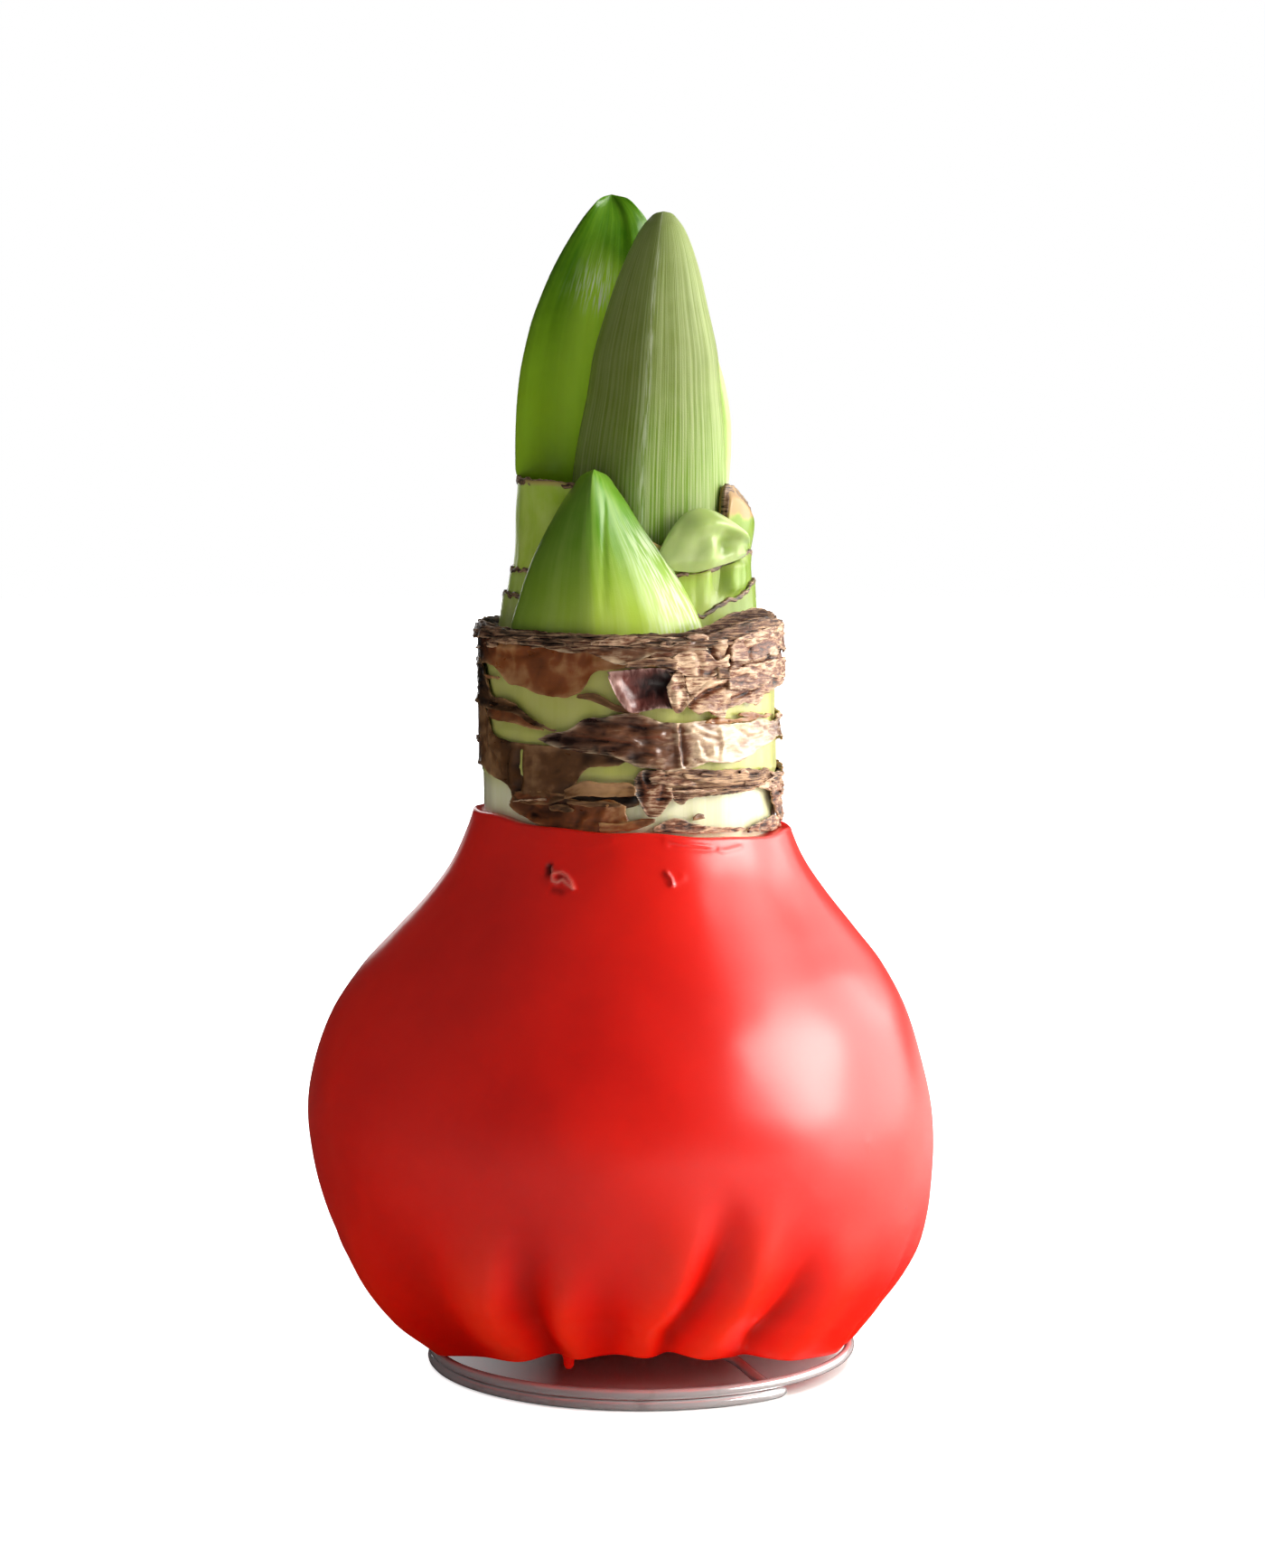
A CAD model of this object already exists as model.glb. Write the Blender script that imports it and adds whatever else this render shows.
# A waxed amaryllis bulb on its wire stand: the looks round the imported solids.
# Sizes are millimetres until a mesh is handed to Blender. A bearing is an angle round the upright
# axis in degrees: 0 is the front (-Y), 90 the right (+X).

import bpy
import numpy as np
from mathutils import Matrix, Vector


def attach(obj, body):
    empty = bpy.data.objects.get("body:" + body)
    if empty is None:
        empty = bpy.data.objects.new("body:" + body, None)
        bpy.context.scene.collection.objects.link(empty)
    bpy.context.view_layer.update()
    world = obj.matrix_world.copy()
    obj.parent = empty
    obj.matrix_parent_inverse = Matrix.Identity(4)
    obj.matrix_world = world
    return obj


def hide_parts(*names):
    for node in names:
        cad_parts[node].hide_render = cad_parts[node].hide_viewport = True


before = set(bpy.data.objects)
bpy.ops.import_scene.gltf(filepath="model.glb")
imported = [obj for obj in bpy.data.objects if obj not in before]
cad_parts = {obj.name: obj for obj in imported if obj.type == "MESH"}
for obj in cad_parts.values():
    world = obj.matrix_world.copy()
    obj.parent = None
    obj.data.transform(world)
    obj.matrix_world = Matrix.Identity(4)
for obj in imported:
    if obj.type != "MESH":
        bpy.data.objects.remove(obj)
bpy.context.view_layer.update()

# ---- Wire stand ---------------------------------------------------------------------------
# One length of galvanised steel wire, bent cold round a former: two flat turns that the bulb
# stands on, then a spoke to the middle and a prong that is pushed up into the bulb.

MM = 0.001
WIRE = 1.5
RING = {"x": 3.4, "y": 2.6, "radius": 31.2}
TURN_RISE = 1.6
UPPER_TURN = {"start": -165, "end": 120}
LOWER_TURN = {"start": -165, "end": 35}
CORNER_BEARING = LOWER_TURN["end"] + 8
SPOKE = {"level": 4.1, "prong": (1.8, 0.0), "bend": 2.0, "top": 30.0}
ROUTE_STEP = 5  # degrees between the points of a turn


def sin_of(bearing):
    return np.sin(np.radians(bearing))


def cos_of(bearing):
    return np.cos(np.radians(bearing))


def ease(low, high, value):
    """A smooth step from 0 at low to 1 at high."""
    part = np.clip((value - low) / (high - low), 0, 1)
    return part * part * (3 - 2 * part)


def colour(web):
    """A colour from its six-digit web form, as the linear values that shaders take."""
    parts = np.array([int(web[i : i + 2], 16) for i in (0, 2, 4)]) / 255
    linear = np.where(parts <= 0.04045, parts / 12.92, ((parts + 0.055) / 1.055) ** 2.4)
    return (*linear.tolist(), 1.0)


def add_node(tree, kind, inputs=None, **settings):
    """A shader node with its settings, and its inputs either linked or set."""
    node = tree.nodes.new(kind)
    for key, value in settings.items():
        setattr(node, key, value)
    for key, value in (inputs or {}).items():
        if isinstance(value, bpy.types.NodeSocket):
            tree.links.new(value, node.inputs[key])
        else:
            node.inputs[key].default_value = value
    return node


def add_math(tree, operation, a, b=0.0):
    return add_node(tree, "ShaderNodeMath", {0: a, 1: b}, operation=operation).outputs[0]


def multiply(tree, a, b):
    return add_math(tree, "MULTIPLY", a, b)


def add_noise(tree, place, scale, detail, **shape):
    inputs = {"Vector": place, "Scale": scale, "Detail": detail, **shape}
    return add_node(tree, "ShaderNodeTexNoise", inputs).outputs["Fac"]


def split(tree, vector):
    """The X, Y and Z of a vector socket."""
    return add_node(tree, "ShaderNodeSeparateXYZ", {"Vector": vector}).outputs


def join(tree, x, y):
    return add_node(tree, "ShaderNodeCombineXYZ", {"X": x, "Y": y}).outputs[0]


def object_place(tree):
    return add_node(tree, "ShaderNodeTexCoord").outputs["Object"]


def named_map(tree, name):
    return add_node(tree, "ShaderNodeUVMap", uv_map=name).outputs["UV"]


def add_mix(tree, factor, a, b, blend_type="MIX"):
    inputs = {0: factor, 6: a, 7: b}
    node = add_node(tree, "ShaderNodeMix", inputs, data_type="RGBA", blend_type=blend_type)
    return node.outputs[2]


def add_range(tree, value, low, high, to_low=0.0, to_high=1.0):
    inputs = {"Value": value, "From Min": low, "From Max": high, "To Min": to_low, "To Max": to_high}
    return add_node(tree, "ShaderNodeMapRange", inputs).outputs["Result"]


def new_material(name, **constants):
    """A material with its Principled shader, whose steady inputs are set on the shader itself."""
    material = bpy.data.materials.new(name)
    material.use_nodes = True
    shader = material.node_tree.nodes["Principled BSDF"]
    for key, value in constants.items():
        shader.inputs[key.replace("_", " ")].default_value = value
    return material, material.node_tree, shader


def add_bump(tree, shader, height, distance, strength=1.0):
    """A bump of a height socket, whose distance is in millimetres."""
    inputs = {"Height": height, "Distance": distance * MM, "Strength": strength}
    bump = add_node(tree, "ShaderNodeBump", inputs)
    tree.links.new(bump.outputs["Normal"], shader.inputs["Normal"])


def ring_point(bearing, z):
    """A point of the ring that the wire is bent to."""
    x, y, radius = RING["x"], RING["y"], RING["radius"]
    return np.array([x + radius * sin_of(bearing), y - radius * cos_of(bearing), z])


def wire_route():
    """The middle line of the wire: two turns, the spoke to the middle, and the prong upwards."""
    lower = WIRE / 2
    landing = 360 + LOWER_TURN["start"]
    route = []
    for bearing in range(UPPER_TURN["start"], landing, ROUTE_STEP):
        fall = ease(UPPER_TURN["end"], landing - 10, bearing)
        route.append(ring_point(bearing, lower + TURN_RISE * (1 - fall)))
    for bearing in range(LOWER_TURN["start"], LOWER_TURN["end"] + 1, ROUTE_STEP):
        route.append(ring_point(bearing, lower))
    corner = ring_point(CORNER_BEARING, lower)
    prong = np.array([*SPOKE["prong"], lower])
    length = np.linalg.norm(prong - corner)
    inward = (prong - corner) / length
    upward = np.array([0.0, 0.0, 1.0])
    route.append(ring_point(CORNER_BEARING - 1.6, lower) + 0.7 * inward)
    climb = SPOKE["level"] - lower
    for along, rise in ((2.6, 0.0), (4.6, 0.25), (11.0, climb - 0.4), (15.0, climb)):
        route.append(corner + along * inward + rise * upward)
    bend = SPOKE["bend"]
    for angle in np.radians([0, 30, 60, 90]):
        along = length - bend + bend * np.sin(angle)
        route.append(corner + along * inward + (climb + bend * (1 - np.cos(angle))) * upward)
    route.append(np.array([*SPOKE["prong"], SPOKE["top"]]))
    return route


wire_curve = bpy.data.curves.new("bent_wire", "CURVE")
wire_curve.dimensions = "3D"
wire_curve.bevel_depth = WIRE / 2 * MM
wire_curve.bevel_resolution = 5
wire_curve.resolution_u = 3
wire_curve.use_fill_caps = True
spline = wire_curve.splines.new("BEZIER")
route = wire_route()
spline.bezier_points.add(len(route) - 1)
for knot, point in zip(spline.bezier_points, route):
    knot.co = point * MM
    knot.handle_left_type = knot.handle_right_type = "AUTO"
wire = bpy.data.objects.new("bent_wire", wire_curve)
bpy.context.scene.collection.objects.link(wire)

zinc, tree, shader = new_material("galvanised wire", Metallic=0.4, IOR=1.8, Coat_Weight=0.7,
                                  Coat_Roughness=0.08, Coat_IOR=2.0)
place = object_place(tree)
spangle = add_node(tree, "ShaderNodeTexVoronoi", {"Vector": place, "Scale": 900.0}).outputs["Color"]
dulling = add_noise(tree, place, 260.0, 6.0)
pits = add_noise(tree, place, 2600.0, 3.0)
grey = add_mix(tree, 0.05, colour("eeeff0"), spangle, "SOFT_LIGHT")
stain = add_range(tree, dulling, 0.55, 0.75)
tree.links.new(add_mix(tree, stain, grey, colour("cfcdcb")), shader.inputs["Base Color"])
rough = add_range(tree, dulling, 0.3, 0.7, 0.1, 0.2)
tree.links.new(rough, shader.inputs["Roughness"])
add_bump(tree, shader, pits, 0.04, 0.5)
wire_curve.materials.append(zinc)
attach(wire, "root")
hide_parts("wire_stand")

# ---- Wax coat -----------------------------------------------------------------------------
# The bulb is dipped in molten red wax up to its neck. The wax gathers in folds round the base,
# a drop has run off and set, and small lumps are left where air broke through.

WAX_FOOT = 3.42
LIP = 0.6
WAX_SIDE = [
    # height, radius
    (WAX_FOOT, 31.8), (4.9, 33.4), (8.1, 36.1), (13.1, 39.9), (18.3, 42.7), (25.8, 44.9), (36.5, 46.0),
    (44, 45.2), (53, 42.3), (60, 38.2), (65.2, 33.8), (70.6, 29.2), (75.2, 26.0), (80, 23.8),
    (84, 22.6), (90, 22.2),
]
WAX_UNDERSIDE = [(0, 5.6), (15, 5.5), (24, 4.6), (29, 3.6), (31.8, WAX_FOOT)]  # radius, height
FRONT_LIFT = 5.0
LIFTED = (13, 28)
SKIRT_SHIFT = {"right": 1.0, "back": 1.5}
EDGE_STRETCH = (66.0, 84.0)
FOLD_LEVEL = 15
WAX_FOLDS = [
    # bearing, lean in degrees per mm, height, widths left and right in degrees, top
    (-40, 0.3, -0.4, 6, 6, 30), (-27.2, 0.28, 2.3, 8, 4.5, 32), (-19.5, 0.25, -2.1, 4, 3.2, 31),
    (-12.6, 0.22, 1.8, 3, 4, 28), (-3.8, 0.07, -1.0, 4, 4, 26), (6.2, 0.42, 1.6, 6, 3.2, 36),
    (12.6, 0.42, -2.1, 2.6, 3.6, 35), (21, 0.35, 1.9, 4.5, 4.6, 35), (32.5, 0.3, -2.1, 3.2, 4.5, 28),
    (43, 0.1, 1.3, 5, 8, 30),
]
UNSEEN = {"start": 76, "end": 318, "step": 17, "spread": 5, "rise": 1.3, "width": 6, "top": 30}
DRIP = {"bearing": -18.4, "radius": 30.6, "seat": 3.6, "width": 1.3, "length": 2.2, "sides": 24}
LEAN = {"neck": 1.8, "belly": 1.9, "belly_height": 46, "spread": 20}
NECK_RADIUS = 20.9
WAX_COLUMNS = 400
EDGE_PUSH = 0.45
FRONT_CROWDING = 24
FACET_LEAN = 0.36


def bell(value, middle, width):
    """1 at the middle, falling away smoothly on both sides."""
    return np.exp(-(((value - middle) / width) ** 2))


def turn_from(bearing, middle):
    """How far a bearing is from another one, from -180 to 180 degrees."""
    return (bearing - middle + 180) % 360 - 180


def through(knots, x):
    """A smooth curve through (x, y) knots, with the slope of the neighbours at each knot."""
    xs, ys = np.array(knots, float).T
    before = np.append(xs[0], xs[:-1]), np.append(ys[0], ys[:-1])
    after = np.append(xs[1:], xs[-1]), np.append(ys[1:], ys[-1])
    slopes = (after[1] - before[1]) / (after[0] - before[0])
    x = np.clip(x, xs[0], xs[-1])
    i = np.clip(np.searchsorted(xs, x, side="right") - 1, 0, len(xs) - 2)
    span = xs[i + 1] - xs[i]
    t = (x - xs[i]) / span
    rise = ys[i] * (1 + 2 * t) * (1 - t) ** 2 + ys[i + 1] * t * t * (3 - 2 * t)
    return rise + span * (slopes[i] * t * (1 - t) ** 2 - slopes[i + 1] * t * t * (1 - t))


def numbers_from(seed):
    """Steady random numbers from 0 to 1."""
    state = seed
    while True:
        state = state * 16807 % 2147483647
        yield state / 2147483647


def all_folds():
    """The folds at the front, with random ones round the sides and the back."""
    draw = numbers_from(11)
    gathers = []
    for bearing in range(UNSEEN["start"], UNSEEN["end"], UNSEEN["step"]):
        sign = 1 if len(gathers) % 2 else -1
        at = bearing + UNSEEN["spread"] * (next(draw) - 0.5)
        lean = 0.9 * (next(draw) - 0.5)
        rise = sign * UNSEEN["rise"] * (0.7 + 0.6 * next(draw))
        left = UNSEEN["width"] * (0.8 + 0.5 * next(draw))
        right = UNSEEN["width"] * (0.8 + 0.5 * next(draw))
        top = UNSEEN["top"] + 8 * (next(draw) - 0.5)
        gathers.append((at, lean, rise, left, right, top))
    return WAX_FOLDS + gathers


FOLDS = all_folds()


def fold_relief(bearing, z):
    """How far the gathered wax stands out, in mm."""
    relief = 0
    for at, lean, rise, left, right, top in FOLDS:
        off = turn_from(bearing, at + lean * (z - FOLD_LEVEL))
        width = np.where(off < 0, left, right)
        relief = relief + rise * bell(off, 0, width) * (1 - ease(top - 17, top, z))
    return relief


def axis_x(z):
    """The middle of the bulb at a height: it leans a little, so its two sides differ."""
    belly = LEAN["belly"] * bell(z, LEAN["belly_height"], LEAN["spread"])
    return LEAN["neck"] - belly - 0.25 * ease(80, 95, z)


def on_body(bearing, radius, z):
    """A point of the wax or the flesh, with the skirt shifted and its front edge lifted."""
    lift = FRONT_LIFT * np.maximum(0, cos_of(bearing)) ** 2.4 * (1 - ease(6, 24, z))
    x = axis_x(z) + SKIRT_SHIFT["right"] * (1 - ease(3.4, 9, z)) + radius * sin_of(bearing)
    y = SKIRT_SHIFT["back"] * (1 - ease(3.4, 12, z)) - radius * cos_of(bearing)
    return np.stack([x, y, z + lift * ease(*LIFTED, radius)], -1)


def about_axis(bearing, radius, z):
    """A point round the leaning middle, with nothing lifted."""
    x = axis_x(z) + radius * sin_of(bearing)
    return np.stack([x, -radius * cos_of(bearing), z + 0 * bearing], -1)


def wax_edge(bearing):
    """The height at which the wax ends on the neck."""
    ripple = 0.2 * sin_of(5 * bearing + 40) + 0.12 * sin_of(11 * bearing)
    return 81.7 - 1.5 * sin_of(bearing) - 0.5 * cos_of(bearing) + ripple


def cloud(x, y, seed, round_after=1e6):
    """Smooth noise from -1 to 1, with one bump to each unit, that repeats along x."""
    column, row = np.floor(x), np.floor(y)
    fx, fy = x - column, y - row
    fx, fy = fx * fx * (3 - 2 * fx), fy * fy * (3 - 2 * fy)

    def draw(i, j):
        place = np.mod(column + i, round_after) * 127.1 + (row + j) * 311.7 + seed * 74.7
        value = np.sin(place) * 43758.5453
        return 2 * (value - np.floor(value)) - 1

    low = draw(0, 0) * (1 - fx) + draw(1, 0) * fx
    high = draw(0, 1) * (1 - fx) + draw(1, 1) * fx
    return low * (1 - fy) + high * fy


def stroke(bearing, z, route, width, radius):
    """1 along a route of (bearing, height) points drawn on a round surface, fading to 0 beside it."""
    across = radius * np.pi / 180
    near = np.full(np.shape(bearing), 1e9)
    for (b0, z0), (b1, z1) in zip(route, route[1:]):
        dx, dz = (b1 - b0) * across, z1 - z0
        px, pz = turn_from(bearing, b0) * across, z - z0
        part = np.clip((px * dx + pz * dz) / (dx * dx + dz * dz), 0, 1)
        near = np.minimum(near, np.hypot(px - part * dx, pz - part * dz))
    return bell(near, 0, width)


# A burst bubble has left a hole with two thin rims. The other small marks are nicks and wrinkles.
HOLE = [(-27.0, 76.4), (-26.4, 75.8)]
LOWER_RIM = [(-26, 76.3), (-25, 75.6), (-24.4, 74.8), (-22.6, 74.5), (-21, 74.9), (-19.2, 74.4),
             (-17.2, 73.9)]
UPPER_RIM = [(-24.6, 75.7), (-22.2, 75.9), (-19.8, 75.4), (-18, 74.7), (-16.6, 73.8)]
WAX_MARKS = [
    # height, width, route
    (-0.8, 0.5, HOLE),
    (0.5, 0.26, LOWER_RIM),
    (0.4, 0.24, UPPER_RIM),
    (-0.3, 0.5, [(-23.5, 73.5), (-20.5, 73.3)]),
    (0.5, 0.35, [(11.6, 75.9), (12.8, 75.2), (13.0, 74.5)]),
    (0.12, 0.6, [(14.4, 74.8), (16.6, 75.3)]),
    (0.14, 0.4, [(12, 80.4), (19, 79.9), (26, 79.4), (33, 78.5), (40, 78.9)]),
    (-0.12, 0.35, [(14, 79.6), (22, 79.0), (30, 78.9)]),
    (0.12, 0.5, [(-38, 80.6), (-28, 79.4), (-14, 79.2), (-6, 80.1)]),
    (0.3, 0.25, [(49.5, 38.4), (49.8, 38.7)]),
]
SWELLS = [
    # waves round the body, waves per metre upwards, phase, height
    (3, 9, 40, 0.16), (5, -13, 10, 0.12), (8, 21, 200, 0.07), (13, -34, 70, 0.035),
    (17, 52, 120, 0.02),
]
DEGREES_PER_WAVE = 0.36  # a turn for each wave, over the millimetres in a metre
SOFT_LUMPS = [
    # lumps round the body, height of each in mm, how proud, seed
    (17, 15, 0.18, 3), (38, 6.5, 0.055, 5), (70, 3.6, 0.02, 8),
]


def fine_relief(bearing, z):
    """The small marks, swells and soft lumps of the wax, in mm."""
    relief = 0
    for around, upward, phase, height in SWELLS:
        relief = relief + height * sin_of(around * bearing + DEGREES_PER_WAVE * upward * z + phase)
    for around, tall, height, seed in SOFT_LUMPS:
        relief = relief + height * cloud(bearing / 360 * around, z / tall, seed, around)
    for height, width, path in WAX_MARKS:
        relief = relief + height * stroke(bearing, z, path, width, through(WAX_SIDE, path[0][1]))
    return relief


def grid_faces(rows, columns, closed):
    """Quads of a grid of points, joined round into a ring if it is closed."""
    across = columns if closed else columns - 1
    j, i = np.meshgrid(np.arange(rows - 1), np.arange(across), indexing="ij")
    a = j * columns + i
    b = j * columns + (i + 1) % columns
    return np.stack([a, b, b + columns, a + columns], -1).reshape(-1, 4)


def new_piece(name, points, faces, maps, materials, material_of_face=None):
    """A smooth mesh object from points in mm, with named maps that give each point a pair."""
    mesh = bpy.data.meshes.new(name)
    mesh.from_pydata((points * MM).tolist(), [], [list(f) for f in faces])
    corners = np.empty(len(mesh.loops), np.int32)
    mesh.loops.foreach_get("vertex_index", corners)
    for key, pairs in maps.items():
        layer = mesh.uv_layers.new(name=key)
        layer.uv.foreach_set("vector", pairs[corners].astype(np.float32).ravel())
    mesh.polygons.foreach_set("use_smooth", np.ones(len(mesh.polygons), bool))
    for material in materials:
        mesh.materials.append(material)
    if material_of_face is not None:
        mesh.polygons.foreach_set("material_index", np.asarray(material_of_face, np.int32))
    mesh.validate()
    piece = bpy.data.objects.new(name, mesh)
    bpy.context.scene.collection.objects.link(piece)
    return piece


def wax_rows():
    """Points of the coat row by row: underside, side, rounded lip, and down inside to the neck."""
    even = np.linspace(0, 360, WAX_COLUMNS, endpoint=False)
    crowded = even - FRONT_CROWDING * sin_of(even)
    lean = FACET_LEAN * bell(turn_from(crowded, 22), 0, 32)
    rows = []

    def leaning(height):
        return crowded + lean * (min(height, 40) - FOLD_LEVEL) * (1 - ease(30, 60, height))

    def sagging(bearing):
        return (0.12 + 0.04 * cos_of(bearing)) * fold_relief(bearing, 5)

    bearing = leaning(4)
    for radius in [*np.linspace(0.6, 24, 14), *np.linspace(25.2, 31.2, 10)]:
        z = through(WAX_UNDERSIDE, radius) - sagging(bearing) * ease(20, 31, radius)
        pushed = EDGE_PUSH * fold_relief(bearing, WAX_FOOT) * ease(20, 31.8, radius)
        rows.append(on_body(bearing, radius + pushed, z))
    low, high = EDGE_STRETCH
    heights = [*np.linspace(WAX_FOOT, 30, 68), *np.linspace(30.6, low, 52),
               *np.linspace(66.5, high, 66)]
    for height in heights:
        bearing = leaning(height)
        stretch = (wax_edge(bearing) - LIP - low) / (high - low)
        z = low + (height - low) * stretch if height > low else height + 0 * bearing
        strength = EDGE_PUSH + (1 - EDGE_PUSH) * ease(WAX_FOOT, 8, z)
        relief = strength * fold_relief(bearing, z) + fine_relief(bearing, z) * ease(WAX_FOOT, 5, z)
        point = on_body(bearing, through(WAX_SIDE, z) + relief, z)
        point[:, 2] -= sagging(bearing) * (1 - ease(3.4, 14, z))
        rows.append(point)
        edge_radius = through(WAX_SIDE, z) + relief
    for angle in np.radians([18, 36, 54, 72, 90]):
        z = wax_edge(bearing) - LIP + LIP * np.sin(angle)
        rows.append(about_axis(bearing, edge_radius - LIP + LIP * np.cos(angle), z))
    for inset, drop in ((0.3, 0.1), (0.7, 0.6), (1.0, 3.0)):
        radius = NECK_RADIUS + 0.9 - inset + 0 * bearing
        rows.append(about_axis(bearing, radius, wax_edge(bearing) - drop))
    return np.array(rows)


rows = wax_rows()
points = rows.reshape(-1, 3)
faces = grid_faces(len(rows), WAX_COLUMNS, True)
foot = np.arange(WAX_COLUMNS)[::-1]
bearings = np.degrees(np.arctan2(points[:, 0] - axis_x(points[:, 2]), -points[:, 1]))
HOLE_RADIUS = 26
darkened = stroke(bearings, points[:, 2], HOLE, 0.6, HOLE_RADIUS)
for strength, path in (
    (0.35, [(-23.5, 73.5), (-20.5, 73.2)]), (0.5, [(-22.6, 75.2), (-20.4, 75.1)]),
    (0.5, [(11.4, 75.9), (12.6, 75.2), (12.9, 74.5)]), (1.0, [(63.0, 27.2), (63.2, 27.3)]),
):
    mark = strength * stroke(bearings, points[:, 2], path, 0.4, through(WAX_SIDE, path[0][1]))
    darkened = np.maximum(darkened, mark)
paled = np.maximum(0.8 * stroke(bearings, points[:, 2], LOWER_RIM, 0.2, HOLE_RADIUS),
                   0.6 * stroke(bearings, points[:, 2], UPPER_RIM, 0.18, HOLE_RADIUS))
marks = np.stack([darkened, paled], -1)
pleats = fold_relief(bearings, points[:, 2] - FRONT_LIFT * 0.6 * cos_of(bearings))
pleats = np.stack([np.clip(-pleats / 2.0, 0, 1), np.clip(pleats / 2.0, 0, 1)], -1)
pleats *= (1 - ease(30, 40, points[:, 2]))[:, None]


def drop_of_wax():
    """The set drop under the front edge, as rows of points."""
    seat = on_body(*(np.array(DRIP[key]) for key in ("bearing", "radius", "seat")))
    profile = [(0, -1), (0.2, -0.98), (0.35, -0.9), (0.47, -0.75), (0.5, -0.55), (0.52, -0.3),
               (0.62, -0.08), (0.9, 0.15), (1.3, 0.4), (1.4, 0.8)]
    turns = np.linspace(0, 2 * np.pi, DRIP["sides"], endpoint=False)
    rings = []
    for out, up in profile:
        reach = max(out, 0.02) * DRIP["width"]
        x = seat[0] + reach * np.cos(turns) * 1.15
        y = seat[1] + reach * np.sin(turns)
        rings.append(np.stack([x, y, seat[2] + up * DRIP["length"] + 0 * turns], -1))
    return np.array(rings)


drop = drop_of_wax()
drop_faces = grid_faces(len(drop), DRIP["sides"], True) + len(points)
first_ring = np.arange(DRIP["sides"]) + len(points)
last_ring = first_ring + DRIP["sides"] * (len(drop) - 1)
faces = [*faces, foot, *drop_faces, first_ring[::-1], last_ring]
points = np.concatenate([points, drop.reshape(-1, 3)])
marks = np.concatenate([marks, np.zeros((drop.size // 3, 2))])
pleats = np.concatenate([pleats, np.zeros((drop.size // 3, 2))])

red_wax, tree, shader = new_material(
    "red wax", Specular_IOR_Level=0.0, Subsurface_Weight=0.35, Subsurface_Scale=0.005,
    Coat_IOR=1.7, Coat_Roughness=0.3, Subsurface_Radius=(1.0, 0.06, 0.03),
)
place = object_place(tree)
cloudy = add_range(tree, add_noise(tree, place, 45.0, 4.0), 0.3, 0.7)
haze = add_noise(tree, place, 140.0, 5.0)
grain = add_noise(tree, place, 2200.0, 2.0)
marked = split(tree, named_map(tree, "marks"))
pleated = split(tree, named_map(tree, "pleats"))
red = add_mix(tree, cloudy, colour("e01003"), colour("f81a05"))
for amount, tone in (
    (multiply(tree, pleated["X"], 0.6), "8c0602"),  # thick wax in the valleys
    (multiply(tree, pleated["Y"], 0.8), "ff3014"),  # thin wax on the crests
    (marked["X"], "4c0805"),
    (marked["Y"], "f09080"),
):
    red = add_mix(tree, amount, red, colour(tone))
tree.links.new(red, shader.inputs["Base Color"])
tree.links.new(add_range(tree, haze, 0.3, 0.7, 0.4, 0.52), shader.inputs["Roughness"])
# The handled front has dulled low down, and the right and the upper body have kept their gloss.
at = split(tree, place)
gloss = add_range(tree, at["Z"], 0.006, 0.042, 0.15, 1.0)
gloss = add_math(tree, "MAXIMUM", gloss, add_range(tree, at["X"], 0.008, 0.03, 0.0, 1.0))
gloss = multiply(tree, gloss, add_range(tree, at["Z"], 0.004, 0.02, 0.25, 1.0))
tree.links.new(gloss, shader.inputs["Coat Weight"])
add_bump(tree, shader, grain, 0.02, 0.25)

wax = new_piece("wax_coat_dipped", points, faces, {"marks": marks, "pleats": pleats}, [red_wax])
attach(wax, "root")
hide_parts("wax_coat")

# ---- Bulb ---------------------------------------------------------------------------------
# The living bulb: fleshy scales grown one round another. Only its neck shows, cream by the wax
# and green above, with a shallow well in the top where the old leaves were cut away.

NECK = {"top": 107.0, "well": 102.0}
FLESH_RADIUS = 21.6
TOWER = {"y": 3.2, "wide": 17.2, "deep": 14.0, "foot": 102.3}
FLARE = {"bearing": -90, "spread": 45, "out": 0.9, "full": 106, "none": 122}
WELL_STEP = 2.15
WAX_THICK = {"low": 3.4, "shoulder": 1.5, "neck": 2.6}
BULB_COLUMNS = 240


def tower_x(z):
    return 1.8 + 0.4 * ease(115, 125, z)


def on_tower(bearing, out, z):
    """A point of the oval tower of scales, which spreads towards its foot on the left."""
    beside = bell(turn_from(bearing, FLARE["bearing"]), 0, FLARE["spread"])
    out = out + FLARE["out"] * beside * (1 - ease(FLARE["full"], FLARE["none"], z))
    x = tower_x(z) + (TOWER["wide"] + out) * sin_of(bearing)
    y = TOWER["y"] - (TOWER["deep"] + out) * cos_of(bearing)
    return np.stack([x, y, z + 0 * bearing], -1)


def new_group(name, inputs, outputs):
    """A shader node group, with the sockets of its inputs and of its outputs."""
    group = bpy.data.node_groups.new(name, "ShaderNodeTree")
    for in_out, kinds in (("INPUT", inputs), ("OUTPUT", outputs)):
        for kind, labels in kinds.items():
            for label in labels:
                group.interface.new_socket(name=label, in_out=in_out, socket_type=kind)
    given = group.nodes.new("NodeGroupInput").outputs
    return group, given, group.nodes.new("NodeGroupOutput").inputs


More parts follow.
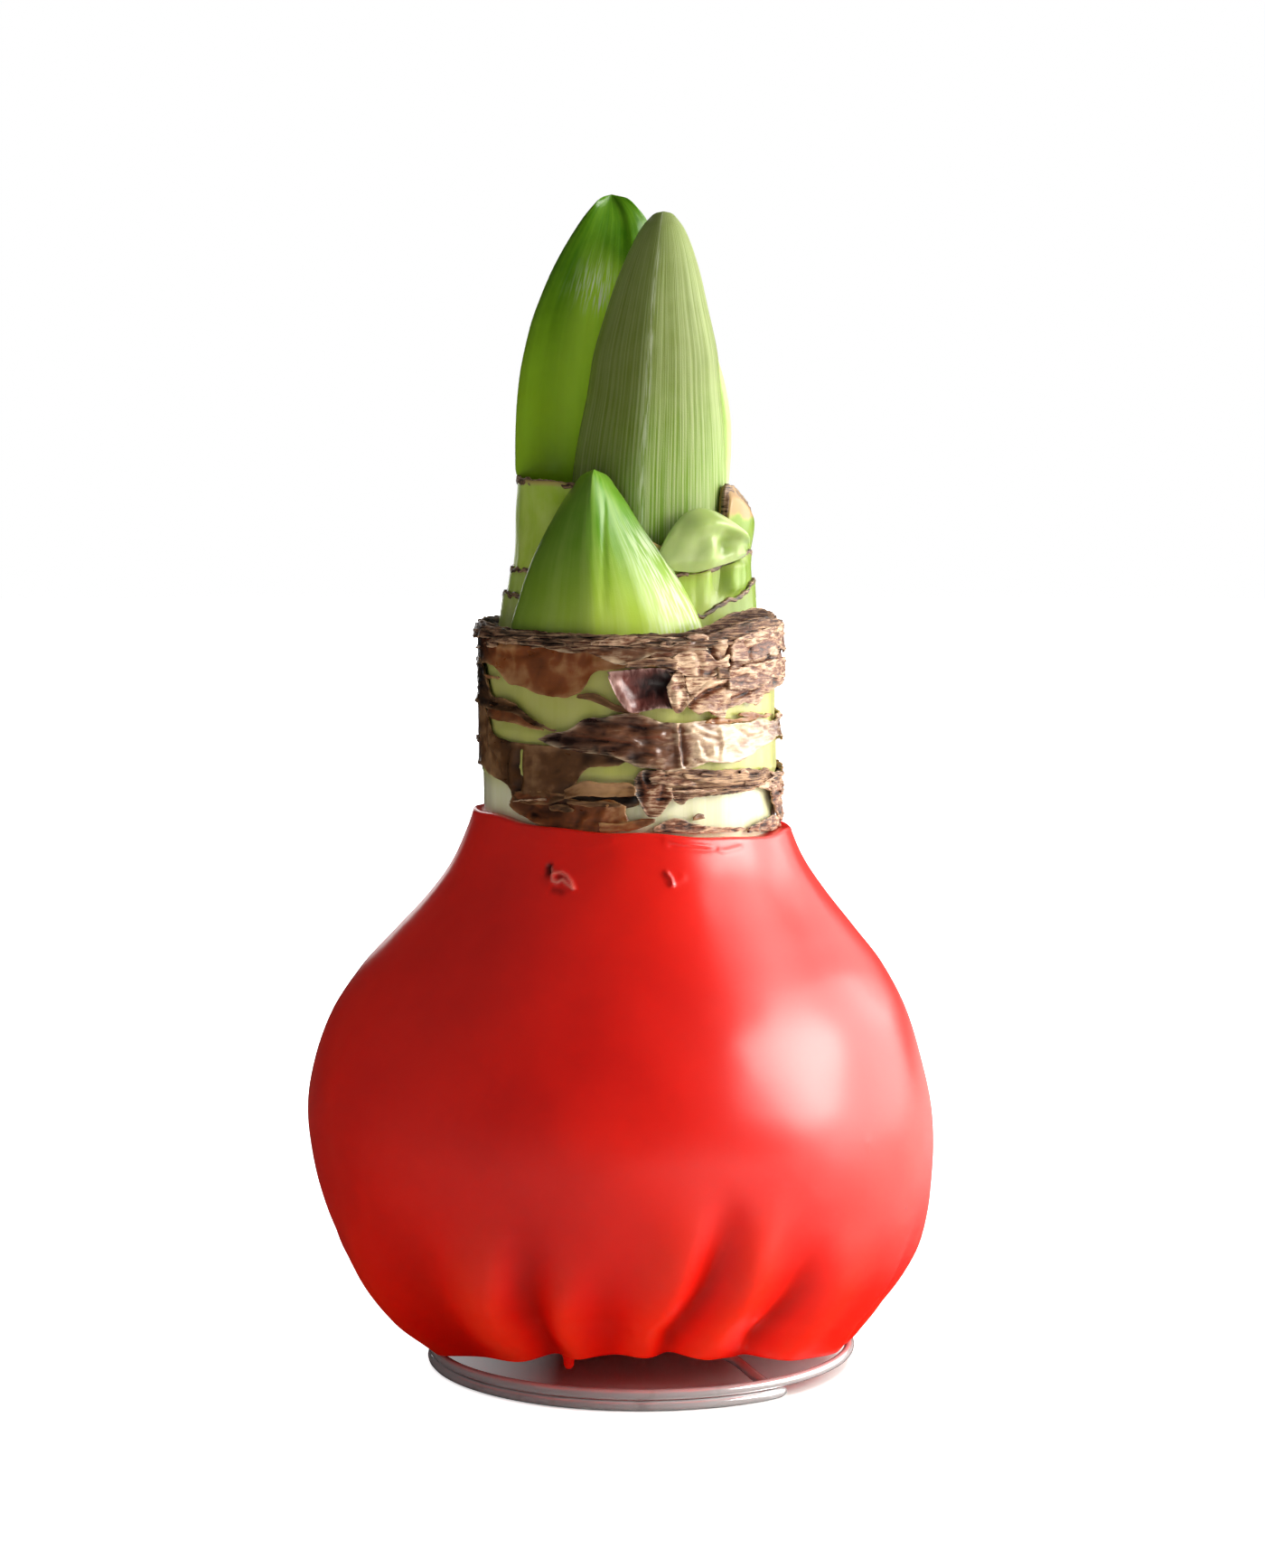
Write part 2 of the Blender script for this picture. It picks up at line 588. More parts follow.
def leaf_tissue():
    """Shader group for living leaf and scale: a colour that changes with height, with veins."""
    group, given, result = new_group("leaf tissue", {
        "NodeSocketVector": ["Place"],
        "NodeSocketColor": ["Foot Colour", "Tip Colour", "Vein Colour", "Dry Colour", "Mark Colour"],
        "NodeSocketFloat": ["Foot Height", "Tip Height", "Veins per mm", "Vein Strength", "Mottle",
                            "Dry", "Mark", "Mark Streaks"],
    }, {"NodeSocketColor": ["Colour"], "NodeSocketFloat": ["Roughness", "Height"]})
    at = split(group, given["Place"])
    grown = add_node(group, "ShaderNodeMapRange", {
        "Value": at["Y"], "From Min": given["Foot Height"], "From Max": given["Tip Height"],
    }, interpolation_type="SMOOTHSTEP").outputs["Result"]
    body = add_mix(group, grown, given["Foot Colour"], given["Tip Colour"])
    lined = join(group, multiply(group, at["X"], given["Veins per mm"]), multiply(group, at["Y"], 0.03))
    veins = add_noise(group, lined, 1.0, 3.0, Roughness=0.6)
    shown = multiply(group, add_range(group, veins, 0.42, 0.66), given["Vein Strength"])
    shown = multiply(group, shown, add_range(group, grown, 0.0, 1.0, 1.0, 0.45))
    patches = add_noise(group, given["Place"], 0.22, 4.0)
    uneven = multiply(group, add_range(group, patches, 0.3, 0.7), given["Mottle"])
    hair_lines = join(group, multiply(group, at["X"], 3.2), multiply(group, at["Y"], 0.25))
    hairs = add_noise(group, hair_lines, 1.0, 2.0)
    gaps = multiply(group, add_range(group, hairs, 0.45, 0.6, 1.0, 0.0), given["Mark Streaks"])
    marked = multiply(group, given["Mark"], add_math(group, "SUBTRACT", 1.0, gaps))
    for amount, tone in ((shown, "Vein"), (uneven, "Vein"), (given["Dry"], "Dry"), (marked, "Mark")):
        body = add_mix(group, amount, body, given[tone + " Colour"])
    finest = add_noise(group, given["Place"], 5.0, 3.0)
    raised = add_math(group, "ADD", veins, multiply(group, finest, 0.35))
    group.links.new(body, result["Colour"])
    group.links.new(add_range(group, patches, 0.3, 0.7, 0.3, 0.46), result["Roughness"])
    group.links.new(raised, result["Height"])
    return group


LEAF_TISSUE = leaf_tissue()


def living(name, foot, tip, vein, heights, veins_per_mm, strength, mottle=0.25, dry="8a6a48",
           mark="f0f8dc", streaks=1.0, bump=0.05, **constants):
    """A material of living tissue, with maps of its grain in mm and of its dryness and marks."""
    material, tree, shader = new_material(name, **{
        "Subsurface_Weight": 0.15, "Subsurface_Scale": 0.002, "Subsurface_Radius": (0.6, 1.0, 0.2),
        "Coat_Weight": 0.4, "Coat_Roughness": 0.25, "Specular_IOR_Level": 0.1, **constants,
    })
    marked = split(tree, named_map(tree, "marks"))
    tissue = add_node(tree, "ShaderNodeGroup", {
        "Place": named_map(tree, "grain"), "Foot Colour": colour(foot), "Tip Colour": colour(tip),
        "Vein Colour": colour(vein), "Foot Height": heights[0], "Tip Height": heights[1],
        "Veins per mm": veins_per_mm, "Vein Strength": strength, "Mottle": mottle,
        "Dry Colour": colour(dry), "Dry": marked["X"],
        "Mark Colour": colour(mark), "Mark": marked["Y"], "Mark Streaks": streaks,
    }, node_tree=LEAF_TISSUE)
    tree.links.new(tissue.outputs["Colour"], shader.inputs["Base Color"])
    tree.links.new(tissue.outputs["Roughness"], shader.inputs["Roughness"])
    add_bump(tree, shader, tissue.outputs["Height"], bump)
    return material


def skin_radius(z):
    """The radius of the flesh inside the wax, which is thick low down and thin at the shoulder."""
    lower = WAX_THICK["low"] + (WAX_THICK["shoulder"] - WAX_THICK["low"]) * ease(26, 48, z)
    thick = lower + (WAX_THICK["neck"] - lower) * ease(66, 79.5, z)
    return np.maximum(through(WAX_SIDE, z) - thick, NECK_RADIUS + 0.3) - 0.3


def bulb_rows():
    """Rings of points from the underside over the body and the neck into the well."""
    bearing = np.linspace(0, 360, BULB_COLUMNS, endpoint=False)
    rows = []
    for radius in (0.5, 12, 22):
        z = 8.7 - 0.012 * radius**1.5
        rows.append(on_body(bearing, radius + 0 * bearing, z + 0 * bearing))
    for height in np.linspace(8, 78, 24):
        z = height + 0 * bearing
        rows.append(on_body(bearing, skin_radius(z), z))
    for height in np.linspace(79.2, NECK["top"] - 0.5, 70):
        z = height + 0 * bearing
        ribs = 0.05 * sin_of(31 * bearing) + 0.07 * sin_of(13 * bearing + 90 * sin_of(3 * height))
        steps = 0.22 * (ease(88.4, 88.9, z + 0.5 * sin_of(4 * bearing)) - ease(95.2, 95.7, z))
        rows.append(on_body(bearing, FLESH_RADIUS - 0.15 + ribs + steps, z))
    rows.append(on_body(bearing, FLESH_RADIUS - 0.9 + 0 * bearing, NECK["top"] + 0 * bearing))
    rows.append(on_tower(bearing, WELL_STEP + 0.3, NECK["top"] + 0 * bearing))
    rows.append(on_tower(bearing, WELL_STEP, NECK["top"] - 0.4 + 0 * bearing))
    rows.append(on_tower(bearing, WELL_STEP, NECK["well"] + 0 * bearing))
    rows.append(on_tower(bearing, -8.0, NECK["well"] + 0 * bearing))
    return np.array(rows)


rows = bulb_rows()
points = rows.reshape(-1, 3)
faces = [*grid_faces(len(rows), BULB_COLUMNS, True), np.arange(BULB_COLUMNS)[::-1],
         np.arange(BULB_COLUMNS) + BULB_COLUMNS * (len(rows) - 1)]
around = np.tile(np.linspace(0, 360, BULB_COLUMNS, endpoint=False), len(rows))
grain_map = np.stack([turn_from(around, 0) * FLESH_RADIUS * np.pi / 180, points[:, 2]], -1)
cut_top = (points[:, 2] > 106.7) * 0.8
flesh = living("bulb flesh", "ecebc8", "bec05c", "d6d68c", (86.0, 90.0), 1.6, 0.25, 0.3, bump=0.03,
               Coat_Weight=0.8, Specular_IOR_Level=0.4)
bulb = new_piece("bulb_flesh", points, faces,
                 {"grain": grain_map, "marks": np.stack([cut_top, 0 * cut_top], -1)}, [flesh])
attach(bulb, "root")
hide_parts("bulb")

# ---- Papery tunics round the neck ---------------------------------------------------------
# The outer scales of the bulb die back to brown paper. They have torn into bands and flakes that
# still cling to the neck, one over another, with ragged edges that curl away from the flesh.

PAPER_GRID = 0.3  # size in mm of a quad of the papers
PAPER_THICK = 0.3


def arc_of(bearing):
    """Millimetres round the neck for a bearing."""
    return bearing * FLESH_RADIUS * np.pi / 180


def torn(bearing, size, seed):
    """Unevenness of a torn edge, in mm: waves, bites and fibres."""
    arc = arc_of(bearing)
    waves = 0.9 * cloud(arc / 3.1, 0 * arc, seed) + 0.5 * cloud(arc / 1.1, 0 * arc, seed + 3)
    return size * (waves + 0.4 * cloud(arc / 0.45, 0 * arc, seed + 7))


def crumple(arc, z, spacing, seed):
    """Sharp creases and flat facets of crumpled paper, from about -1 to 1."""
    shifted = arc + 0.5 * spacing[0] * cloud(arc / 2.7, z / 1.9, seed + 1)
    lifted = z + 0.5 * spacing[1] * cloud(arc / 1.8, z / 2.6, seed + 2)
    ridges = 1 - 2 * np.abs(cloud(shifted / spacing[0], lifted / spacing[1], seed))
    fine = 1 - 2 * np.abs(cloud(shifted / spacing[0] * 2.3, lifted / spacing[1] * 2.3, seed + 4))
    return 0.7 * ridges + 0.3 * fine


def peeled(arc, z, spacing, seed):
    """1 where a loose layer still covers the sheet, 0 where it has peeled off."""
    lifted = z + 0.4 * spacing[1] * cloud(arc / 0.8, z / 0.6, seed + 1)
    return ease(-0.04, 0.1, cloud(arc / (1.7 * spacing[0]), lifted / (1.5 * spacing[1]), seed))


def sheet_part(columns, rows, place):
    """A closed thin sheet. place(u, v, out) gives its points, out 1 on the face, 0 on the back."""
    u, v = np.meshgrid(np.linspace(0, 1, columns + 1), np.linspace(0, 1, rows + 1))
    front, maps = place(u, v, 1.0)
    back, _ = place(u, v, 0.0)
    count = (columns + 1) * (rows + 1)
    points = np.concatenate([front.reshape(-1, 3), back.reshape(-1, 3)])
    faces = grid_faces(rows + 1, columns + 1, False)
    index = np.arange(count).reshape(rows + 1, columns + 1)
    rim = np.concatenate([index[0], index[1:, -1], index[-1, -2::-1], index[-2:0:-1, 0]])
    after = np.roll(rim, -1)
    sides = np.stack([after, rim, rim + count, after + count], -1)
    faces = np.concatenate([faces, faces[:, ::-1] + count, sides])
    pairs = {key: np.concatenate([m.reshape(-1, 2)] * 2) for key, m in maps.items()}
    return points, faces, pairs


def band(start, end, low, high, step, rough=0.25, curl=(0.0, 0.0), crinkle=0.12,
         crease=(1.2, 0.5), tint=0.5, folds=(), seed=1, curl_width=0.8, layers=0.0):
    """A torn band of dry tunic between two edges, given as (bearing, height) knots.

    step is its distance from the flesh, curl how far its lower and upper edges lift, crinkle the
    height of its wrinkles and crease their spacing round and up, and layers the height of what
    has not peeled off it. tint runs from 0, dark, to 1, pale, and may be knots by bearing.
    """
    length = arc_of(end - start)
    tall = max(through(high, b) - through(low, b) for b in np.linspace(start, end, 40))
    columns, rows = max(4, int(length / PAPER_GRID)), max(3, int(tall / PAPER_GRID))

    def place(u, v, out):
        bearing = start + (end - start) * u
        about = turn_from(bearing, 0)
        bottom = through(low, about) + torn(bearing, rough, seed)
        top = through(high, about) + torn(bearing, rough, seed + 20)
        bottom = np.minimum(bottom, top - 0.15)
        ends = np.minimum(u, 1 - u) * length
        frayed = 0.5 * torn(v * 30, 1.0, seed + 40) * np.maximum(0, 1 - ends / 1.2)
        bearing = bearing + frayed * np.where(u < 0.5, 1, -1)
        z = bottom + (top - bottom) * v
        arc = arc_of(about)
        wrinkles = crumple(arc, z, crease, seed + 60)
        covered = peeled(arc, z, crease, seed + 70)
        relief = 1.5 * crinkle * wrinkles + layers * covered
        relief = relief + 0.12 * cloud(arc / 6, z / 4, seed + 90)
        relief = relief + 1.2 * curl[0] * np.exp(-(z - bottom) / curl_width)
        relief = relief + curl[1] * np.exp(-(top - z) / curl_width)
        dug = 0 * z
        for height, width, path in folds:
            crease_here = stroke(about, z, path, width, FLESH_RADIUS)
            relief = relief + height * crease_here
            dug = dug + height * crease_here
        radius = FLESH_RADIUS + step + np.maximum(relief, -step - 0.2) + out * PAPER_THICK
        edge = np.maximum(np.exp(-(z - bottom) / 0.3), np.exp(-(top - z) / 0.3))
        edge = np.maximum(edge, np.exp(-ends / 0.3))
        shade = (tint if np.isscalar(tint) else through(tint, about)) + 0 * z
        rise = np.clip(wrinkles + 1.6 * dug, -1.5, 1.5)
        maps = {"grain": np.stack([arc, z], -1), "marks": np.stack([edge, shade], -1),
                "wear": np.stack([rise, covered * (layers > 0)], -1)}
        return about_axis(bearing, radius, z), maps

    return sheet_part(columns, rows, place)


def scraps(count, bearings, heights, step, kinds, seed, tints=(0.3, 0.8)):
    """Loose shreds of tunic scattered over part of the neck: (material number, part) pairs."""
    draw = numbers_from(seed)
    pieces = []
    for number in range(count):
        at = bearings[0] + (bearings[1] - bearings[0]) * (number + 0.8 * next(draw)) / count
        z = heights[0] + (heights[1] - heights[0]) * next(draw)
        half = 2.0 + 9.0 * next(draw) ** 1.5
        tall = 0.35 + 0.9 * next(draw)
        slope = 0.08 * (next(draw) - 0.5)
        low = [(at - half, z - slope * half), (at, z - 0.3 * tall), (at + half, z + slope * half)]
        high = [(b, level + tall * (0.4 if b != at else 1.2)) for b, level in low]
        kind = kinds[int(next(draw) * len(kinds)) % len(kinds)]
        tint = tints[0] + (tints[1] - tints[0]) * next(draw)
        lift = step + 0.15 * next(draw)
        pieces.append((kind, band(
            at - half, at + half, low, high, lift, rough=0.16, crinkle=0.14, crease=(1.6, 0.5),
            curl=(0.25 * next(draw), 0.2 * next(draw)), curl_width=0.4, tint=tint,
            seed=seed + 7 * number)))
    return pieces


def joined(name, parts, materials):
    """One piece of several (material number, part) pairs, and its points, faces and maps joined."""
    points, faces, kinds = [], [], []
    maps = {key: [] for key in parts[0][1][2]}
    count = 0
    for kind, (part_points, part_faces, pairs) in parts:
        faces.append(part_faces + count)
        kinds.append(np.full(len(part_faces), kind))
        points.append(part_points)
        count += len(part_points)
        for key in maps:
            maps[key].append(pairs[key])
    maps = {key: np.concatenate(pairs) for key, pairs in maps.items()}
    return new_piece(name, np.concatenate(points), np.concatenate(faces), maps, materials,
                     np.concatenate(kinds))


def dry_tunic():
    """Shader group for dead tunic: blotched brown paper with fibres, darker in its creases."""
    group, given, result = new_group("dry tunic", {
        "NodeSocketVector": ["Place"],
        "NodeSocketColor": ["Dark", "Middle", "Pale"],
        "NodeSocketFloat": ["Fibres per mm", "Fibre Rise", "Paleness", "Edge", "Edge Wear", "Crease",
                            "Layer", "Contrast"],
    }, {"NodeSocketColor": ["Colour"], "NodeSocketFloat": ["Roughness", "Height"]})
    at = split(group, given["Place"])
    lined = join(group, multiply(group, at["X"], given["Fibres per mm"]),
                 multiply(group, at["Y"], given["Fibre Rise"]))
    fibres = add_noise(group, lined, 1.0, 3.5, Roughness=0.6, Distortion=0.6)
    blotches = add_noise(group, given["Place"], 0.3, 3.0, Roughness=0.55)
    contrast = given["Contrast"]
    lightness = given["Paleness"]
    for light in (
        multiply(group, add_range(group, fibres, 0.32, 0.68, -0.4, 0.4), contrast),
        multiply(group, add_range(group, blotches, 0.32, 0.68, -0.3, 0.3),
                 add_range(group, contrast, 0.0, 1.0, 0.35, 1.0)),
        multiply(group, add_range(group, given["Crease"], -0.8, 0.9, -0.5, 0.34),
                 add_range(group, contrast, 0.0, 1.0, 0.3, 1.0)),
        multiply(group, given["Layer"], 0.16),
    ):
        lightness = add_math(group, "ADD", lightness, light)
    body = add_mix(group, add_range(group, lightness, -0.1, 0.5), given["Dark"], given["Middle"])
    body = add_mix(group, add_range(group, lightness, 0.5, 1.2), body, given["Pale"])
    worn = multiply(group, given["Edge"], given["Edge Wear"])
    worn = multiply(group, worn, add_range(group, fibres, 0.4, 0.6))
    body = add_mix(group, worn, body, given["Pale"])
    fine = add_noise(group, lined, 3.1, 3.0)
    raised = add_math(group, "ADD", fibres, multiply(group, fine, 0.5))
    group.links.new(body, result["Colour"])
    group.links.new(add_range(group, fibres, 0.3, 0.7, 0.26, 0.44), result["Roughness"])
    group.links.new(raised, result["Height"])
    return group


DRY_TUNIC = dry_tunic()


def paper(name, dark, middle, pale, fibres, contrast, wear=0.6, bump=0.12, **constants):
    """A material of dry tunic. fibres are how many lie to a mm round the neck and up it."""
    material, tree, shader = new_material(name, **constants)
    marks = split(tree, named_map(tree, "marks"))
    worn = split(tree, named_map(tree, "wear"))
    tissue = add_node(tree, "ShaderNodeGroup", {
        "Place": named_map(tree, "grain"), "Dark": colour(dark), "Middle": colour(middle),
        "Pale": colour(pale), "Fibres per mm": fibres[0], "Fibre Rise": fibres[1],
        "Edge": marks["X"], "Edge Wear": wear, "Paleness": marks["Y"],
        "Crease": worn["X"], "Layer": worn["Y"], "Contrast": contrast,
    }, node_tree=DRY_TUNIC)
    tree.links.new(tissue.outputs["Colour"], shader.inputs["Base Color"])
    tree.links.new(tissue.outputs["Roughness"], shader.inputs["Roughness"])
    add_bump(tree, shader, tissue.outputs["Height"], bump)
    return material


amber_paper = paper("amber tunic", "240c04", "8a481a", "dcae74", (0.16, 0.5), 0.12, 0.6, 0.04,
                    Specular_IOR_Level=0.5, Coat_Weight=0.3, Coat_Roughness=0.2)
crumpled_paper = paper("crumpled tunic", "1c0804", "80482a", "f0cca6", (0.5, 2.6), 1.1, 0.8, 0.2,
                       Specular_IOR_Level=0.5, Coat_Weight=0.2, Coat_Roughness=0.25)
fibrous_paper = paper("fibrous tunic", "140703", "623622", "dcb28a", (0.3, 4.0), 1.35, 0.7, 0.35,
                      Specular_IOR_Level=0.5)
silky_paper = paper("silky tunic", "2c120a", "7c4e32", "f6dab2", (0.3, 1.5), 0.4, 0.7, 0.1,
                    Specular_IOR_Level=0.7, Coat_Weight=0.6, Coat_Roughness=0.2)
dark_paper = paper("dark tunic", "1a0b05", "66401e", "c29464", (0.2, 0.7), 0.16, 0.6, 0.05,
                   Specular_IOR_Level=0.5, Coat_Weight=0.3, Coat_Roughness=0.2)
PAPERS = [amber_paper, crumpled_paper, fibrous_paper, silky_paper, dark_paper]
AMBER, CRUMPLED, FIBROUS, SILKY, DARK = range(5)

collar_parts = [
    (AMBER, band(
        -182, 14,
        [(-180, 101), (-140, 102.5), (-100, 103.6), (-72, 104.6), (-60, 104.3), (-57, 103.7),
         (-50, 102.1), (-45, 101.8), (-40, 101.3), (-35, 100.7), (-28, 100.4), (-22, 100.5),
         (-18, 101.1), (-15.5, 102.3), (-14, 103.5), (-11, 104.1), (-6, 104.3), (14, 104.9),
         (178, 101), (180, 101)],
        [(-180, 109.3), (-90, 109.8), (-60, 109), (-20, 108.6), (14, 108.8), (180, 109.3)],
        0.2, rough=0.14, crinkle=0.05, crease=(2.6, 3.4), curl=(0.25, 0.0),
        tint=[(-180, 0.4), (-78, -0.1), (-68, 0.1), (-56, 0.6), (-30, 0.45), (-10, 0.65), (180, 0.5)],
        seed=2,
        folds=[(0.25, 0.35, [(-62, 107.6), (-52, 106.9), (-42, 107.1)]),
               (-0.25, 0.4, [(-58, 106.2), (-44, 105.9), (-36, 106.6)]),
               (0.2, 0.5, [(-14, 105.2), (-6, 105.6)])])),
    (CRUMPLED, band(
        8, 180,
        [(8, 105.2), (13, 104.6), (16, 103), (19, 100.3), (22, 99), (25, 98.3), (29, 98.5),
         (33, 97.7), (36, 97.3), (38, 98.3), (42, 99), (50, 99.2), (55, 98.7), (58, 99.8),
         (62, 100.5), (70, 100.8), (80, 102), (95, 102.6), (110, 101.2), (145, 101.2), (180, 101)],
        [(8, 108.6), (30, 108.8), (60, 109.9), (90, 110.3), (130, 109.4), (180, 109.2)],
        0.3, rough=0.3, crinkle=0.24, crease=(5.0, 1.5), curl=(0.3, 0.0), layers=0.35,
        tint=[(8, 0.5), (25, 0.6), (50, 0.5), (90, 0.4), (180, 0.45)], seed=5,
        folds=[(0.8, 0.45, [(17, 97.9), (21, 99.6), (25, 101), (29, 102), (33, 102.6), (39, 103)]),
               (-0.8, 0.35, [(20, 98.6), (25, 100), (31, 101.2), (38, 101.9)]),
               (-1.0, 0.5, [(31, 108.8), (31.5, 107), (33, 105.2), (32.6, 104)]),
               (-0.9, 0.45, [(46, 108.4), (43, 106.4), (38, 104.4), (35, 103.2)]),
               (-0.9, 0.45, [(70, 106.4), (62, 104.6), (55, 103.8), (44, 102.6)]),
               (0.6, 0.4, [(35, 107.9), (39, 107.4), (41.5, 106.6)]),
               (-0.8, 0.35, [(41, 99.8), (47, 100.3), (54, 101.3)]),
               (-0.8, 0.3, [(39.3, 107.6), (39, 105.2)])])),
    (CRUMPLED, band(
        39.5, 104, [(39.5, 105.2), (50, 105.2), (55, 105.4), (60, 106), (66, 106.7), (75, 106.6),
                    (104, 105.8)],
        [(39.5, 107.5), (44, 108.6), (60, 109.6), (80, 110.1), (104, 109.8)],
        0.75, rough=0.12, crinkle=0.07, crease=(3.4, 1.8), curl=(0.35, 0.1),
        tint=[(39, 0.5), (60, 0.45), (104, 0.5)], seed=9,
        folds=[(-0.5, 0.3, [(46, 108.2), (50, 107), (49, 105.6)]),
               (0.35, 0.4, [(60, 109), (70, 108.2), (80, 108.6)])])),
    (CRUMPLED, band(
        16.3, 38.6, [(16.3, 104.6), (19, 103.6), (25, 103.2), (30, 103), (33, 103.8), (38.6, 104.6)],
        [(16.3, 106.2), (20, 106.9), (27, 107), (31, 106.2), (33, 105.6), (38.6, 106.4)],
        0.75, rough=0.14, crinkle=0.1, crease=(2.8, 1.2), curl=(0.35, 0.1),
        tint=[(16, 0.8), (38, 0.55)], seed=12,
        folds=[(-0.4, 0.3, [(24, 106.6), (27, 105.2), (26, 103.4)])])),
    (CRUMPLED, band(
        20.2, 34, [(20.2, 101.4), (23, 100.7), (26, 101.1), (30, 102), (34, 102.6)],
        [(20.2, 103.3), (26, 103.2), (31, 103), (34, 103.4)],
        0.8, rough=0.1, crinkle=0.1, curl=(0.2, 0.2), tint=[(20, 0.85), (34, 0.5)], seed=15)),
    (CRUMPLED, band(
        38, 100, [(38, 101.5), (50, 101.2), (60, 102), (80, 102.4), (100, 102)],
        [(38, 104.3), (50, 104.6), (60, 105), (80, 105.2), (100, 104.8)],
        0.7, rough=0.25, crinkle=0.2, crease=(4, 0.7), curl=(0.3, 0.3), layers=0.15,
        tint=[(38, 0.5), (100, 0.4)], seed=16)),
    (FIBROUS, band(
        33, 38.4, [(33, 102.9), (38.4, 102.8)], [(33, 104.6), (38.4, 104.4)],
        1.2, rough=0.1, crinkle=0.2, crease=(1, 1), tint=0.45, seed=17)),
    (SILKY, band(
        -42, 29, [(-42, 107.9), (-30, 107.2), (-23, 106.6), (-15, 106.6), (-10, 105.9),
                  (-5, 105.1), (0, 105.2), (5, 105.9), (10, 106.5), (16, 106.9), (29, 107.0)],
        [(-42, 108.3), (-30, 108.1), (-15, 107.9), (0, 107.7), (15, 108.1), (29, 108.2)],
        0.6, rough=0.18, crinkle=0.14, crease=(2.5, 0.5), curl=(0.5, 0.0),
        tint=[(-42, 0.1), (-22, 0.55), (0, 0.35), (29, 0.5)], seed=19, curl_width=0.45)),
    (FIBROUS, band(
        -180, 180,
        [(-180, 108.4), (-90, 108.9), (-68, 109.2), (-40, 108.4), (0, 108.1), (31, 108.3),
         (60, 109.7), (90, 109.6), (180, 108.4)],
        [(-180, 109.5), (-90, 110), (-68, 110.4), (-58, 109.8), (-40, 109.2), (0, 109.0),
         (28, 108.9), (31, 109.3), (45, 110.2), (60, 110.9), (80, 110.6), (120, 109.7), (180, 109.5)],
        0.75, rough=0.16, crinkle=0.18, crease=(5, 0.4), curl=(0.1, -0.3),
        tint=[(-180, 0.3), (-40, -0.1), (20, -0.1), (45, 0.4), (180, 0.3)], seed=23)),
    (FIBROUS, band(
        -176, 176,
        [(-180, 107.7), (-90, 108.1), (-68, 108.4), (-40, 107.9), (0, 107.5), (31, 107.6),
         (60, 108.7), (90, 108.6), (180, 107.7)],
        [(-180, 108.8), (-90, 109.2), (-68, 109.6), (-40, 108.7), (0, 108.3), (31, 108.6),
         (60, 109.9), (90, 109.8), (180, 108.8)],
        0.55, rough=0.22, crinkle=0.16, crease=(4, 0.45), curl=(0.3, 0.0), curl_width=0.4,
        tint=[(-180, 0.4), (-40, 0.1), (20, 0.2), (45, 0.6), (180, 0.4)], seed=25)),
    (FIBROUS, band(
        -180, 180, [(-180, 107.2), (180, 107.2)],
        [(-180, 109.9), (-68, 110.6), (-50, 109.6), (0, 109.1), (28, 109.1), (45, 110.5),
         (60, 111.2), (80, 110.9), (120, 110), (180, 109.9)],
        0.1, rough=0.16, crinkle=0.16, crease=(4, 0.6), tint=0.2, seed=27)),
    *scraps(5, (52, 110), (102.5, 108.8), 0.8, (CRUMPLED, FIBROUS, SILKY), 311, (0.3, 0.75)),
    *scraps(10, (-60, 30), (107.2, 108.6), 0.75, (FIBROUS, CRUMPLED), 457, (0.1, 0.7)),
    *scraps(14, (110, 300), (102.5, 108.8), 0.25, (CRUMPLED, FIBROUS, AMBER), 523, (0.2, 0.7)),
]
collar = joined("tunic_collar_torn", collar_parts, PAPERS)
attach(collar, "root")
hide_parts("tunic_collar")

inner_parts = [
    (FIBROUS, band(
        -179, 179, [(-180, 106.9), (180, 106.9)],
        [(-180, 110.5), (-90, 110.6), (-40, 109.5), (22, 109.4), (40, 111.6), (56, 112.6),
         (70, 112.0), (80, 111.2), (100, 110.6), (135, 110.6), (180, 110.5)],
        step, rough=0.2, crinkle=0.16, crease=(4, 0.5), curl=(0, lean), layers=0.1,
        tint=[(-180, 0.3), (20, 0.3), (60, 0.5), (180, 0.3)], seed=30 + 3 * number))
    for number, (step, lean) in enumerate([(-0.5, -0.3), (-1.1, -0.5), (-1.6, -0.4)])
]
inner_rim = joined("tunic_inner_rim_torn", inner_parts, PAPERS)
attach(inner_rim, "root")
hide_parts("tunic_inner_rim")

